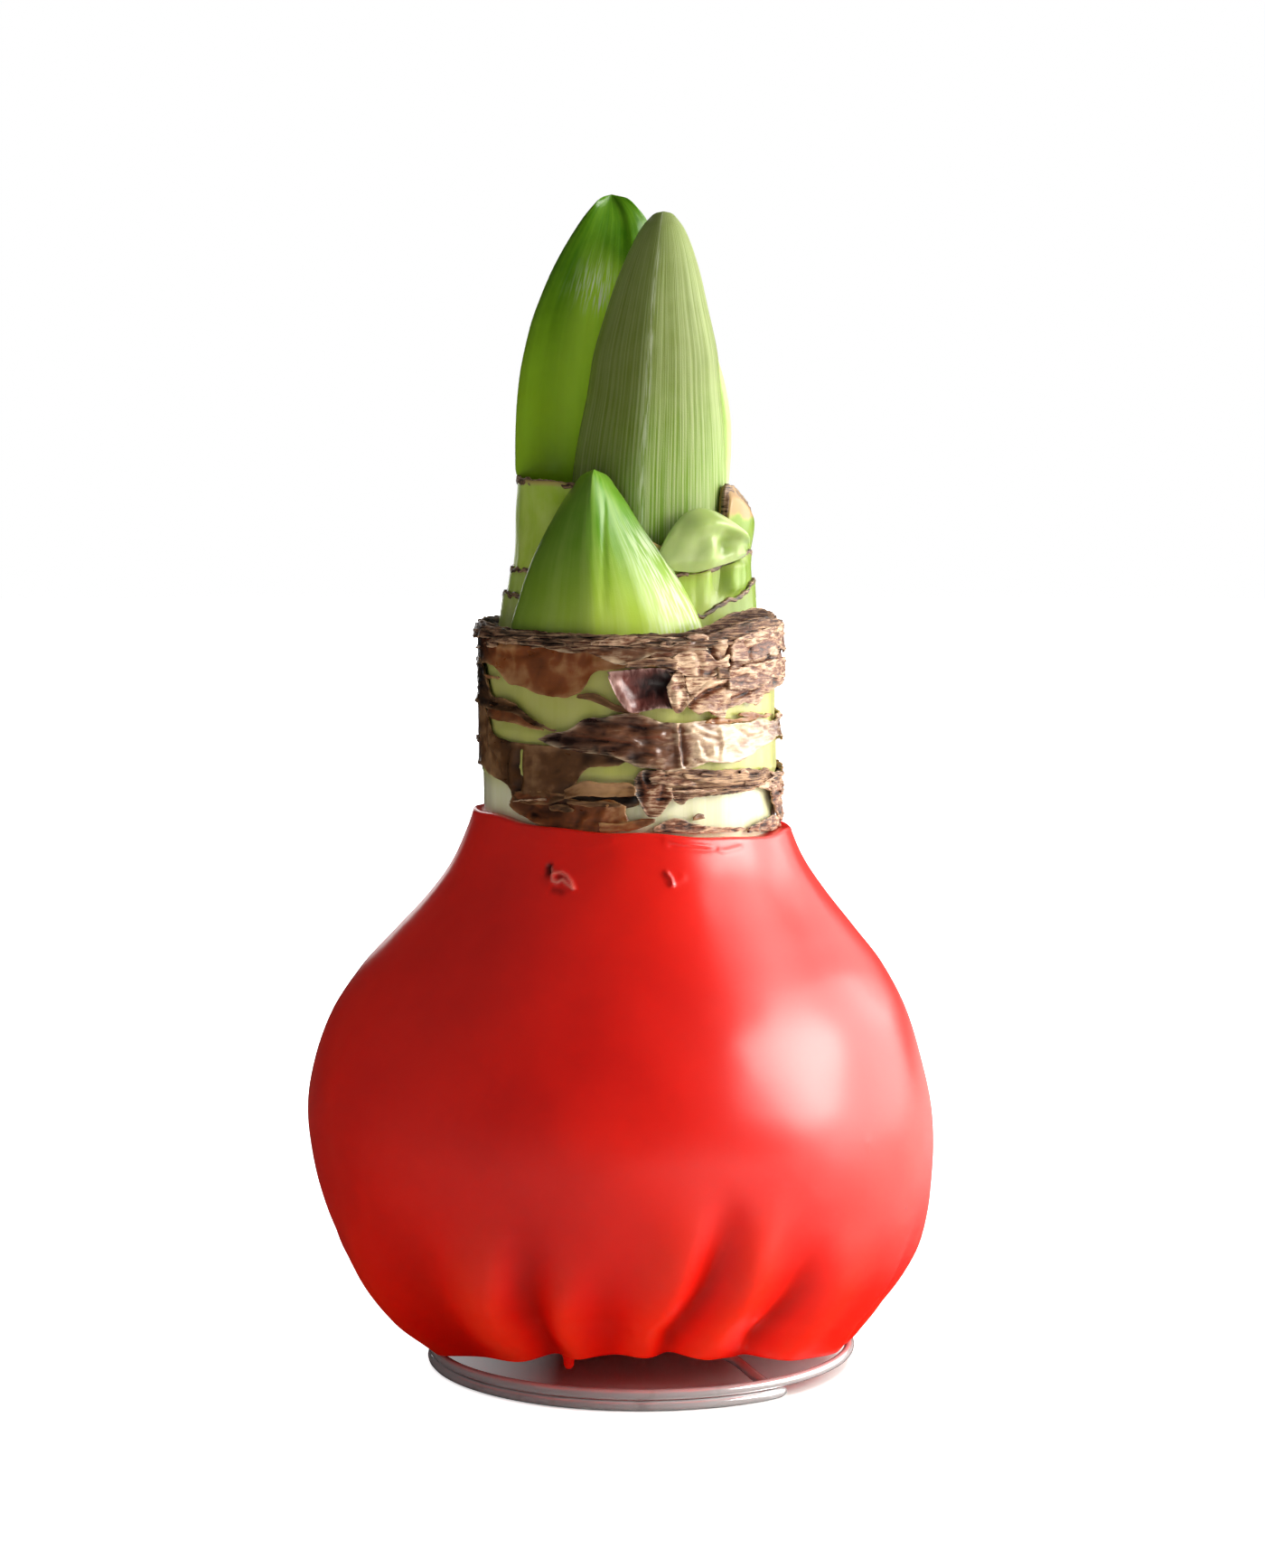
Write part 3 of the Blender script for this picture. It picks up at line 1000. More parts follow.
middle_parts = [
    (SILKY, band(
        -34.5, 182,
        [(-34.5, 94.1), (-28, 93.3), (-20, 93), (-15, 92.6), (-8, 92.3), (-3, 91.8), (0, 91.2),
         (3, 90.7), (10, 90.2), (19, 90), (25, 90.4), (30, 90.9), (45, 91), (55, 92.4), (65, 93.4),
         (75, 94), (100, 92.8), (140, 91.4), (180, 92.4)],
        [(-34.5, 94.5), (-28, 95.4), (-22, 95.9), (-16, 97.3), (-10, 97.7), (-5, 98), (2, 98.3),
         (5, 98), (12, 97), (20, 96.7), (30, 96.9), (40, 96.4), (50, 96.5), (60, 96.7), (70, 96.1),
         (80, 96.6), (100, 97.4), (130, 98.2), (180, 97.6)],
        0.2, rough=0.16, crinkle=0.15, crease=(2.6, 1.1), curl=(0.4, 0.15),
        tint=[(-34, 0.05), (-12, 0.1), (0, 0.2), (14, 0.35), (24, 0.72), (50, 0.9), (75, 0.55),
              (180, 0.4)], seed=41,
        folds=[(0.6, 0.3, [(17.6, 96.5), (18.2, 94), (19.3, 90.6)]),
               (-0.5, 0.3, [(19.4, 96.4), (20, 93.6), (20.6, 91)]),
               (0.35, 0.3, [(22, 96), (26, 94.4), (27, 92)]),
               (-0.3, 0.3, [(24, 95.2), (28, 93.4), (30, 92)]),
               (0.3, 0.25, [(24, 96.3), (31, 95), (36, 94.6)]),
               (-0.35, 0.35, [(-12, 97.2), (0, 96.2), (12, 96), (22, 95.7)]),
               (-0.25, 0.3, [(-24, 94.6), (-10, 94.2), (4, 93.6), (14, 94.0)]),
               (0.5, 0.3, [(-8, 95.4), (2, 94.9), (12, 95.2)]),
               (0.5, 0.3, [(-20, 95.3), (-8, 94.8), (1, 94.2), (10, 92.6)]),
               (0.3, 0.4, [(36, 91.6), (37.5, 93.5), (36, 95.6)]),
               (-0.3, 0.3, [(44, 95.6), (52, 94.2), (60, 94.6)])])),
    (DARK, band(
        -182, -27,
        [(-180, 92.4), (-150, 94.5), (-110, 97.4), (-80, 98.9), (-70, 98.3), (-60, 98), (-50, 98),
         (-44, 97.6), (-38, 96.3), (-32, 95.7), (-27, 95.3), (178, 92.4), (180, 92.4)],
        [(-180, 97.6), (-150, 99.4), (-110, 103.2), (-80, 105.2), (-74, 104.6), (-68, 102.2),
         (-64, 100.2), (-55, 99.8), (-48, 99.3), (-42, 98), (-36, 96.8), (-27, 95.7),
         (178, 97.6), (180, 97.6)],
        0.2, rough=0.14, crinkle=0.12, crease=(4, 0.6), curl=(0.4, 0.1),
        tint=[(-180, 0.4), (-70, 0.1), (-50, 0.25), (-27, 0.0)], seed=45,
        folds=[(-0.5, 0.4, [(-64, 98.9), (-55, 98.7), (-47, 98.6)])])),
    (AMBER, band(
        -67, -33, [(-67, 96.9), (-60, 96.5), (-50, 96.4), (-44, 96.1), (-38, 95.7), (-33, 95.5)],
        [(-67, 98.6), (-60, 98.5), (-45, 98.2), (-38, 96.6), (-33, 95.8)],
        0.15, rough=0.1, crinkle=0.05, curl=(0.25, 0), tint=[(-67, 0.25), (-33, 0.35)], seed=49)),
    (DARK, band(
        -19, 4, [(-19, 100.2), (-14, 99.9), (-9, 99.2), (-4, 98.4), (4, 98.1)],
        [(-19, 100.7), (-14, 101), (-9, 100.4), (-5, 99.4), (4, 99)],
        0.2, rough=0.08, crinkle=0.08, curl=(0.3, 0), tint=[(-19, 0.4), (4, 0.3)], seed=51)),
    *scraps(5, (36, 80), (96.2, 97.6), 0.3, (CRUMPLED, AMBER), 611, (0.3, 0.7)),
    *scraps(8, (90, 280), (93, 98), 0.3, (CRUMPLED, FIBROUS, DARK), 677, (0.2, 0.7)),
]
middle = joined("tunic_middle_band_torn", middle_parts, PAPERS)
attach(middle, "root")
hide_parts("tunic_middle_band")

lower_left_parts = [
    (DARK, band(
        -212, -1.5,
        [(-180, 85.4), (-120, 87.4), (-82, 90), (-72, 89.5), (-66, 88.6), (-55, 87.9), (-50, 87.1),
         (-48, 85.7), (-45, 85.2), (-38, 85), (-30, 85.2), (-24, 86), (-20.5, 87.6), (-18.6, 89.2),
         (-15, 90.4), (-4, 90.7), (-1.5, 91.2), (148, 84), (180, 85.4)],
        [(-180, 91.2), (-150, 93.2), (-100, 98.4), (-82, 99.6), (-74, 98.8), (-68, 97.2), (-64, 95),
         (-60, 94.2), (-50, 93.7), (-35, 93.4), (-28, 93.2), (-15, 92.8), (-8, 92.4), (-1.5, 91.8),
         (148, 90.2), (180, 91.2)],
        0.15, rough=0.14, crinkle=0.05, crease=(2.6, 3), curl=(0.2, 0.2),
        tint=[(-180, 0.45), (-80, 0.5), (-60, 0.6), (-50, 0.2), (-40, 0.5), (-20, 0.3), (-10, 0.05),
              (180, 0.45)], seed=53,
        folds=[(-0.7, 0.45, [(-44.6, 92.4), (-45.4, 90), (-44, 88.2), (-46, 86.8)]),
               (0.6, 0.7, [(-47.6, 92.2), (-49, 90), (-48, 87.6)]),
               (0.3, 0.5, [(-42, 92), (-42, 87)]),
               (0.25, 0.4, [(-66, 93), (-58, 91.6), (-54, 89.4)])])),
    (AMBER, band(
        -50, -1, [(-50, 84.4), (-45, 83.4), (-38, 82.4), (-32, 81.6), (-28, 81.2), (-20, 81.0),
                  (-10, 81.0), (-5, 81.6), (-1, 82.4)],
        [(-50, 86.4), (-40, 86.9), (-25, 86.6), (-22, 86.1), (-15, 85.7), (-8, 86), (-1, 85.2)],
        0.1, rough=0.16, crinkle=0.08, crease=(2, 1), curl=(0.25, 0.1), layers=0.12,
        tint=[(-50, 0.1), (-25, 0.1), (-14, 0.3), (-5, 0.5), (-1, 0.4)], seed=57,
        folds=[(-0.3, 0.5, [(-20, 82.2), (-18, 84)]), (0.3, 0.5, [(-12, 82), (-8, 85)])])),
    (DARK, band(
        -24, 2.4, [(-24, 86.1), (-18, 86.4), (-10, 86.5), (0, 86.5), (2.4, 86.6)],
        [(-24, 87.2), (-20, 88.0), (-16, 88.5), (-10, 88.4), (-4, 88.4), (0, 88.3), (2.4, 87.7)],
        0.6, rough=0.12, crinkle=0.12, crease=(2.4, 0.7), curl=(0.3, 0.2),
        tint=[(-24, 0.4), (-15, 0.85), (-6, 0.95), (2, 0.5)], seed=61)),
    (DARK, band(
        -23, 4, [(-23, 84.9), (-15, 85.4), (-8, 84.9), (0, 84.8), (4, 85.2)],
        [(-23, 86.9), (-10, 86.9), (4, 86.9)],
        0.05, rough=0.1, crinkle=0.1, tint=-0.3, seed=63)),
    *scraps(3, (-40, -8), (83.4, 86), 0.35, (CRUMPLED, DARK), 713, (0.1, 0.4)),
    *scraps(7, (-200, -84), (87, 93), 0.2, (CRUMPLED, FIBROUS, DARK), 753, (0.2, 0.6)),
]
lower_left = joined("tunic_lower_left_torn", lower_left_parts, PAPERS)
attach(lower_left, "root")
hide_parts("tunic_lower_left")

lower_right_parts = [
    (CRUMPLED, band(
        1.8, 15.5, [(1.8, 87.2), (4, 85.4), (6, 84.0), (8, 83.6), (11, 83.9), (13, 85.0), (15.5, 86.3)],
        [(1.8, 88.6), (4, 89.9), (8, 90.2), (13, 90.0), (14.4, 89.6), (15.5, 88.2)],
        0.45, rough=0.22, crinkle=0.2, crease=(1.2, 3.0), curl=(0.3, 0.1),
        tint=[(2, 0.2), (9, 0.35), (15.5, 0.5)], seed=67)),
    (FIBROUS, band(
        13.5, 148,
        [(13.5, 87.9), (16, 86.2), (19, 85.2), (22, 85.9), (27, 86), (32, 86.3), (40, 86.4),
         (48, 86.7), (56, 87.1), (64, 87.3), (66, 86.8), (72, 86.9), (80, 86.7), (100, 84.6),
         (120, 84.6), (148, 84.2)],
        [(13.5, 89.9), (20, 90.2), (30, 90), (45, 89.7), (52, 89.6), (58, 89.2), (62, 89.5),
         (66, 89), (75, 88.3), (80, 88.1), (95, 89.4), (148, 89.6)],
        0.25, rough=0.22, crinkle=0.2, crease=(5, 0.42), curl=(0.2, 0.25), layers=0.2,
        tint=[(13, 0.45), (30, 0.6), (60, 0.6), (148, 0.4)], seed=71)),
    (FIBROUS, band(
        20, 58, [(20, 88.9), (30, 88.2), (40, 88), (58, 88.3)],
        [(20, 89.7), (30, 89), (40, 88.9), (58, 89)],
        0.7, rough=0.14, crinkle=0.12, crease=(4, 0.4), curl=(0.3, 0.1),
        tint=[(20, 0.85), (58, 0.7)], seed=73)),
    (CRUMPLED, band(
        65, 104, [(65, 85.4), (68, 84), (70, 83.4), (72, 82.2), (80, 81.4), (104, 82.2)],
        [(65, 86.5), (68, 87.3), (75, 87.2), (80, 87), (104, 87)],
        0.3, rough=0.18, crinkle=0.25, crease=(2, 0.9), curl=(0.3, 0.3),
        tint=[(65, 0.5), (104, 0.5)], seed=75)),
    *scraps(9, (16, 80), (86.2, 89.2), 0.55, (FIBROUS, CRUMPLED), 811, (0.2, 0.9)),
    *scraps(6, (84, 150), (84.6, 89), 0.45, (FIBROUS, CRUMPLED), 853, (0.2, 0.7)),
]
lower_right = joined("tunic_lower_right_torn", lower_right_parts, PAPERS)
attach(lower_right, "root")
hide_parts("tunic_lower_right")

sliver_parts = [
    (CRUMPLED, band(
        8.5, 47, [(8.5, 81.4), (14, 81.3), (27, 81.0), (47, 81.0)],
        [(8.5, 82.2), (14, 83.1), (18, 83.2), (22, 82.6), (27, 82.1), (36, 81.7), (47, 81.4)],
        0.25, rough=0.1, crinkle=0.1, curl=(0.1, 0.3), tint=[(8, 0.4), (47, 0.5)], seed=77)),
    (AMBER, band(
        -11, 9, [(-11, 81.4), (0, 81.6), (5, 82.2), (9, 82.7)],
        [(-11, 82.7), (-4, 82.6), (0, 82.9), (6, 83.4), (9, 83.3)],
        0.3, rough=0.1, crinkle=0.08, curl=(0.1, 0.3), tint=[(-11, 0.6), (9, 0.2)], seed=79)),
    (AMBER, band(
        23.5, 28.5, [(23.5, 82.8), (28.5, 83.1)], [(23.5, 83.2), (26, 83.8), (28.5, 83.6)],
        0.15, rough=0.1, crinkle=0.05, curl=(0.2, 0.2), tint=0.2, seed=81)),
    (CRUMPLED, band(
        50, 86, [(50, 80.6), (86, 80.4)],
        [(50, 81.2), (58, 82), (68, 82.6), (74, 82.1), (86, 82.2)],
        0.3, rough=0.14, crinkle=0.2, crease=(2, 0.8), curl=(0, 0.3), tint=0.45, seed=83)),
]
sliver = joined("tunic_sliver_torn", sliver_parts, PAPERS)
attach(sliver, "root")
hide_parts("tunic_sliver")

# The flake: a glossy purple inner face that has curled open like a shell, with a dry flap.

purple_paper = paper("purple tunic", "260a08", "743830", "d2a89c", (1.2, 0.5), 0.4, 0.9, 0.06,
                     Coat_Weight=0.45, Coat_Roughness=0.28)
FLAKE_PAPERS = [purple_paper, crumpled_paper, fibrous_paper]
SHELL, FLAP, FRINGE = range(3)

flake_parts = [
    (SHELL, band(
        -7, 18, [(-7, 103.2), (-5, 101.2), (-2, 99.2), (1, 98.3), (5, 98.5), (10, 98.9), (15, 98.8),
                 (18, 98.6)],
        [(-7, 104), (-3, 104.2), (5, 104.5), (12, 104.5), (18, 104)],
        0.5, rough=0.06, crinkle=0.08, crease=(2, 1.4), curl=(0.75, 0.3),
        tint=[(-7, 0.75), (-2, 0.6), (4, 0.3), (10, 0.05), (18, 0.2)], seed=90, curl_width=1.1,
        folds=[(-0.5, 2.4, [(7, 101.8), (11, 101.6)]), (0.8, 0.8, [(-4.5, 102.6), (0, 99.4)])])),
    (FLAP, band(
        13.6, 21.5, [(13.6, 100.8), (15.5, 98.8), (18, 98.1), (21.5, 99.6)],
        [(13.6, 102.2), (15.5, 103.6), (18, 104.4), (19.5, 103.6), (21.5, 101.2)],
        1.0, rough=0.1, crinkle=0.18, crease=(1.2, 1.0), curl=(0.3, 0.3),
        tint=[(13, 0.8), (21, 0.4)], seed=93, folds=[(0.6, 0.6, [(15.5, 102.6), (17, 99.2)])])),
    (FRINGE, band(
        -1, 17, [(-1, 104.5), (4, 104.6), (8, 105), (12, 104.9), (17, 104)],
        [(-1, 105.4), (4, 105.9), (8, 106), (12, 106.2), (17, 105.6)],
        0.9, rough=0.14, crinkle=0.16, crease=(1.4, 0.8), curl=(0.35, 0.1),
        tint=[(-1, 0.5), (17, 0.55)], seed=96)),
]
flake = joined("tunic_flake_curled", flake_parts, FLAKE_PAPERS)
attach(flake, "root")
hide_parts("tunic_flake")

# ---- Cut scales above the neck ------------------------------------------------------------
# Green leaf bases, cut or died back to thin brown rims. The outer two are low cut rings, one has
# swollen and crumpled as it healed, and the tall sheath still wraps the bud and the back leaves.

SHEATH = {"thick": 0.9, "curl": 1.0, "curl_depth": 2.2}
SCALE_TAPER = 0.45
SHEATH_RIM = [
    (-180, 129.4), (-130, 130.6), (-90, 131.2), (-60, 130.9), (-30, 130.2), (-8, 127), (10, 122),
    (30, 120.8), (46, 121.4), (49, 123.6), (53, 128.6), (56, 130), (62, 130.1), (71, 129.2), (80, 127.8),
    (92, 126.6), (130, 127.8), (180, 129.4),
]
UPPER_CUT_RIM = [
    (-180, 119), (-90, 118.1), (-60, 118), (20, 117.6), (31, 117.4), (43, 118.2), (55, 119),
    (78, 120.6), (110, 120), (180, 119),
]
LOWER_CUT_RIM = [
    (-180, 115), (-90, 114.6), (-60, 114.2), (24, 111.4), (30, 111.5), (37, 111.8), (48, 113.4),
    (62, 114.4), (80, 116.3), (120, 115.6), (180, 115),
]
WRINKLED_RIM = [
    (12.5, 120.6), (15, 122.4), (20, 124.8), (25.5, 126.3), (32, 126.9), (38, 126.7), (44, 126.0),
    (53, 124.7), (58, 123.8), (62, 122.9), (64.5, 121.4),
]
UPPER_SCALE = {"step": 0.3, "thick": 0.6, "start": 12, "end": 312}
LOWER_SCALE = {"step": 1.15, "thick": 0.5, "start": 18, "end": 308}


def right_swell(bearing):
    return 0.7 * bell(turn_from(bearing, 80), 0, 40)


def scale_maps(bearing, z, dryness, greener=None):
    """The maps of a scale: where it is dry, and where it is greener."""
    arc = bearing * TOWER["wide"] * np.pi / 180
    pairs = np.stack([arc + 0 * z, z + 0 * bearing], -1)
    if greener is None:
        greener = 0.75 * ease(34, 62, turn_from(bearing, 0))
    marks = np.stack([dryness + 0 * z, greener * (1 - dryness) + 0 * z], -1)
    return {"grain": pairs, "marks": marks, "wear": 0 * marks}


def dry_rim(rim, start, end, out_at, height=0.8, seed=1, rise=0.25):
    """The brown, shrivelled lip along a scale's rim, standing a little proud of its face."""
    columns = int((end - start) * 1.2)

    def place(u, v, out):
        bearing = start + (end - start) * u
        about = turn_from(bearing, 0)
        top = through(rim, about)
        arc = bearing * TOWER["wide"] * np.pi / 180
        uneven = 0.22 * cloud(arc / 1.3, 0 * arc, seed) + 0.1 * cloud(arc / 0.4, 0 * arc, seed + 5)
        z = top + rise + uneven - height * (1 - v)
        lump = 0.16 * cloud(arc / 0.8, v * 3, seed + 9)
        face = 0.07 * np.sin(np.pi * v) ** 0.6 + 0.4 * lump
        step = out_at(about, z) + np.where(out > 0, face, -0.4 - 0.2 * np.sin(np.pi * v))
        edge = 0.4 + 0.6 * v
        maps = {"grain": np.stack([arc, z], -1), "marks": np.stack([edge, 0.35 + 0 * z], -1),
                "wear": np.stack([lump * 4, 0 * z], -1)}
        return on_tower(bearing, step, z), maps

    return sheet_part(columns, 6, place)


def cut_scale(rim, form, wrinkles):
    """A low scale from the well up to its cut rim, with wrinkles in both faces."""
    columns = int((form["end"] - form["start"]) * 0.9)

    def place(u, v, out):
        bearing = form["start"] + (form["end"] - form["start"]) * u
        about = turn_from(bearing, 0)
        top = through(rim, about)
        z = TOWER["foot"] + (top - TOWER["foot"]) * v
        full = form["thick"] - SCALE_TAPER * ease(top - 8, top, z)
        face = out * (full + wrinkles(about, z))
        return on_tower(bearing, form["step"] + face, z), scale_maps(about, z, 0.3 * ease(0.9, 1, v))

    return sheet_part(columns, 40, place)


def pucker(bearing, z):
    """Soft vertical puckers on the right of the upper cut scale."""
    low = through(LOWER_CUT_RIM, bearing)
    amount = bell(bearing, 50, 26) * ease(low, low + 1.6, z) * (1 - ease(118.6, 119.6, z))
    ridges = 1.2 * cloud(bearing / 9, z / 9, 4) + 0.25 * cloud(bearing / 3.6, z / 3, 8)
    return amount * (0.3 + 1.0 * ridges)


def faint(bearing, z):
    return 0.05 * cloud(bearing / 4, z / 6, 3)


def scale_face(form):
    return lambda bearing, z: form["step"] + form["thick"] - SCALE_TAPER


dry_lip = paper("dry lip", "2a170c", "6e4a2e", "cdb08a", (0.6, 3.5), 1.0, 0.4, 0.1)
cut_green = living("cut scale", "b2c25c", "9abb36", "cfdd94", (109.0, 118.0), 0.8, 0.35, 0.3,
                   mark="7c9a30", streaks=0.0, Coat_Weight=0.5)
sheath_green = living("green sheath", "a8c034", "9cbc2a", "d4e284", (113.0, 130.0), 0.5, 0.2, 0.4,
                      dry="b89460", mark="6c8c1c", streaks=0.0, Coat_Weight=0.5)
pale_green = living("crumpled scale", "b8ca80", "acc26c", "ccdc9c", (118.0, 126.0), 0.6, 0.2, 0.3,
                    mark="7c9a30", streaks=0.0, bump=0.02, Coat_Weight=0.9, Coat_Roughness=0.2,
                    Subsurface_Weight=0.3)

GREEN, DRY = range(2)
lower_scale = joined("scale_lower_cut", [
    (GREEN, cut_scale(LOWER_CUT_RIM, LOWER_SCALE, faint)),
    (DRY, dry_rim(LOWER_CUT_RIM, 18, 308, scale_face(LOWER_SCALE), 0.65, 3, 0.15)),
], [cut_green, dry_lip])
upper_scale = joined("scale_upper_cut", [
    (GREEN, cut_scale(UPPER_CUT_RIM, UPPER_SCALE, pucker)),
    (DRY, dry_rim(UPPER_CUT_RIM, 12, 312, scale_face(UPPER_SCALE), 0.65, 6, 0.2)),
], [cut_green, dry_lip])


def crumpled_scale():
    """A swollen piece of scale with a lip, a hollow and two lumps."""
    start, end = WRINKLED_RIM[0][0], WRINKLED_RIM[-1][0]

    def place(u, v, out):
        bearing = start + (end - start) * u
        low = through(UPPER_CUT_RIM, bearing) + 0.3
        z = low + (through(WRINKLED_RIM, bearing) - low) * v
        lip = 1.5 * bell(v, 0.76, 0.16) * ease(20, 32, bearing)
        hollow = -1.1 * bell(bearing, 45, 6) * bell(v, 0.38, 0.26)
        bump = 1.1 * bell(bearing, 35, 5) * bell(v, 0.36, 0.22)
        bump = bump + 0.5 * bell(bearing, 24, 6) * bell(v, 0.5, 0.3)
        ridges = 0.16 * cloud(bearing / 8, v * 2.2, 14) + 0.05 * cloud(bearing / 3, v * 5, 17)
        body = (1.3 + lip + hollow + bump + ridges) * (0.12 + 0.88 * np.sin(np.pi * u) ** 0.6)
        body = body * (0.3 + 0.7 * ease(-0.05, 0.2, v))
        swell = out * body * np.sqrt(np.clip(1 - (np.maximum(0, v - 0.8) / 0.205) ** 2, 0, 1))
        greener = 0.8 * bell(bearing, 44, 7) * bell(v, 0.38, 0.24) + 0.6 * ease(50, 60, bearing)
        return (on_tower(bearing, 0.45 + swell + right_swell(bearing), z),
                scale_maps(bearing, z, 0 * z, greener))

    return sheet_part(90, 50, place)


wrinkled = joined("scale_wrinkled_healed", [(GREEN, crumpled_scale())], [pale_green])


def sheath_out(bearing, z):
    """How far the sheath stands off the tower, with its right rim curled inwards."""
    top = through(SHEATH_RIM, bearing)
    inward = SHEATH["curl"] * bell(turn_from(bearing, 66), 0, 24)
    curled = inward * ease(top - SHEATH["curl_depth"], top, z)
    fuller = 0.35 * bell(turn_from(bearing, -86), 0, 40) * (1 - ease(117, 129, z))
    return right_swell(bearing) * bell(z, 124.5, 4) + fuller - curled


def tall_sheath():
    """The scale that still wraps the shoots, dried brown where its right side has died."""
    def place(u, v, out):
        bearing = -180 + 358.5 * u
        top = through(SHEATH_RIM, bearing)
        z = TOWER["foot"] + (top - TOWER["foot"]) * v
        dents = 0.45 * cloud(bearing / 16, z / 7, 21) * ease(112, 118, z) * out
        dents = dents * (1 - ease(0, 40, bearing))
        dry = ease(44, 50, bearing) * (1 - ease(100, 130, bearing))
        dry = dry * ease(125.3, 126.0, z + 0.5 * cloud(bearing / 5, 0 * z, 44))
        dry = np.maximum(dry, 0.8 * ease(top - 0.8, top - 0.2, z))
        step = (out - 1) * SHEATH["thick"] + sheath_out(bearing, z) + dents
        return on_tower(bearing, step, z), scale_maps(bearing, z, dry)

    return sheet_part(320, 70, place)


sheath = joined("scale_sheath_tall", [
    (GREEN, tall_sheath()),
    (DRY, dry_rim(SHEATH_RIM, -170, -8, lambda b, z: sheath_out(b, z) - 0.05, 0.9, 31)),
    (DRY, dry_rim(SHEATH_RIM, 50, 110, lambda b, z: sheath_out(b, z) - 0.05, 1.9, 36)),
    (DRY, dry_rim(SHEATH_RIM, 110, 178, lambda b, z: sheath_out(b, z) - 0.2, 0.8, 39)),
], [sheath_green, dry_lip])

for piece, node, slot in (
    (lower_scale, "scale_lower", "cut_scale"), (upper_scale, "scale_upper", "cut_scale"),
    (wrinkled, "scale_wrinkled", "pale_scale"), (sheath, "scale_sheath", "green_sheath"),
):
    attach(piece, "root")
    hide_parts(node)

# ---- Leaves and flower bud ----------------------------------------------------------------
# The new growth: a stout flower bud in its two-keeled spathe, a folded pair of leaves behind it,
# the edge of another leaf at its right, and a short blunt pair that has just broken out in front.

SHOOT_COLUMNS = 150
SHOOT_ROWS = 150


def shoot(form, relief):
    """A lens-shaped shoot, from knots by height of its half width, depth, middle and place."""
    foot, tip = form["foot"], form["half"][-1][0]
    climb = np.sin(np.linspace(0, np.pi / 2, SHOOT_ROWS))
    z = (foot + (tip - 0.02 - foot) * climb)[:, None]
    bearing = np.linspace(0, 360, SHOOT_COLUMNS, endpoint=False)[None, :]
    wide = through(form["half"], z)
    thick = through(form["deep"], z)
    u = sin_of(bearing) + 0 * z
    front = -cos_of(bearing) + 0 * z
    lens = np.sign(front) * np.abs(front) ** form["edge"]
    fade = np.clip(wide / 2.0, 0, 1)
    raised = np.where(front < 0, relief(u, z) * np.abs(front) * fade, 0)
    side = wide * u
    depth = (thick + raised) * lens + form["cup"] * u * u * fade
    turn = form["turn"]
    points = np.stack([
        through(form["middle"], z) + side * cos_of(turn) - depth * sin_of(turn),
        through(form["y"], z) + side * sin_of(turn) + depth * cos_of(turn),
        z + 0 * u,
    ], -1).reshape(-1, 3)
    faces = [*grid_faces(SHOOT_ROWS, SHOOT_COLUMNS, True), np.arange(SHOOT_COLUMNS)[::-1],
             np.arange(SHOOT_COLUMNS) + SHOOT_COLUMNS * (SHOOT_ROWS - 1)]
    across = np.where(front < 0, u, 2.5 - u) * form["half"][2][1]
    grain = np.stack([across, z + 0 * u], -1).reshape(-1, 2)
    marks = form["marks"](u, z, front).reshape(-1, 2)
    return points, faces, {"grain": grain, "marks": marks}


def no_marks(u, z, front):
    return np.stack([0 * u * z, 0 * u * z], -1)


def bud_marks(u, z, front):
    """The shaded, purplish left of the spathe, and the pale line of its keel."""
    left = ease(-0.02, -0.4, u) * (front < 0)
    keel = bell(u, -0.1, 0.035) * (front < 0)
    return np.stack([0.62 * left * (1 - ease(140, 169, z) * 0.4), 0.5 * keel + 0 * z], -1)


def back_marks(u, z, front):
    """The younger, paler right of the leaf, low down, and the pale streaks where it bends."""
    young = 0.92 * ease(-0.75, 0.0, u) * (1 - ease(156, 166, z + 6 * u)) * ease(128, 134, z)
    bend = z - 157.2 + 3 * u + 0.8 * np.sin(31 * u)
    scuffed = bell(bend, 0, np.where(bend > 0, 3.4, 1.5)) * bell(u, -0.2, 0.3) * (front < 0)
    return np.stack([young, 0.95 * scuffed], -1)


def front_marks(u, z, front):
    """The darker left half of the front leaf, beside its fold."""
    left = ease(-0.1, -0.3, u) * (0.45 + 0.3 * ease(0.4, 1.0, -u)) * (front < 0)
    chalky = 0.6 * ease(0.3, 0.9, u) * (front < 0) * ease(129, 120, z)
    return np.stack([left + 0 * z, chalky], -1)


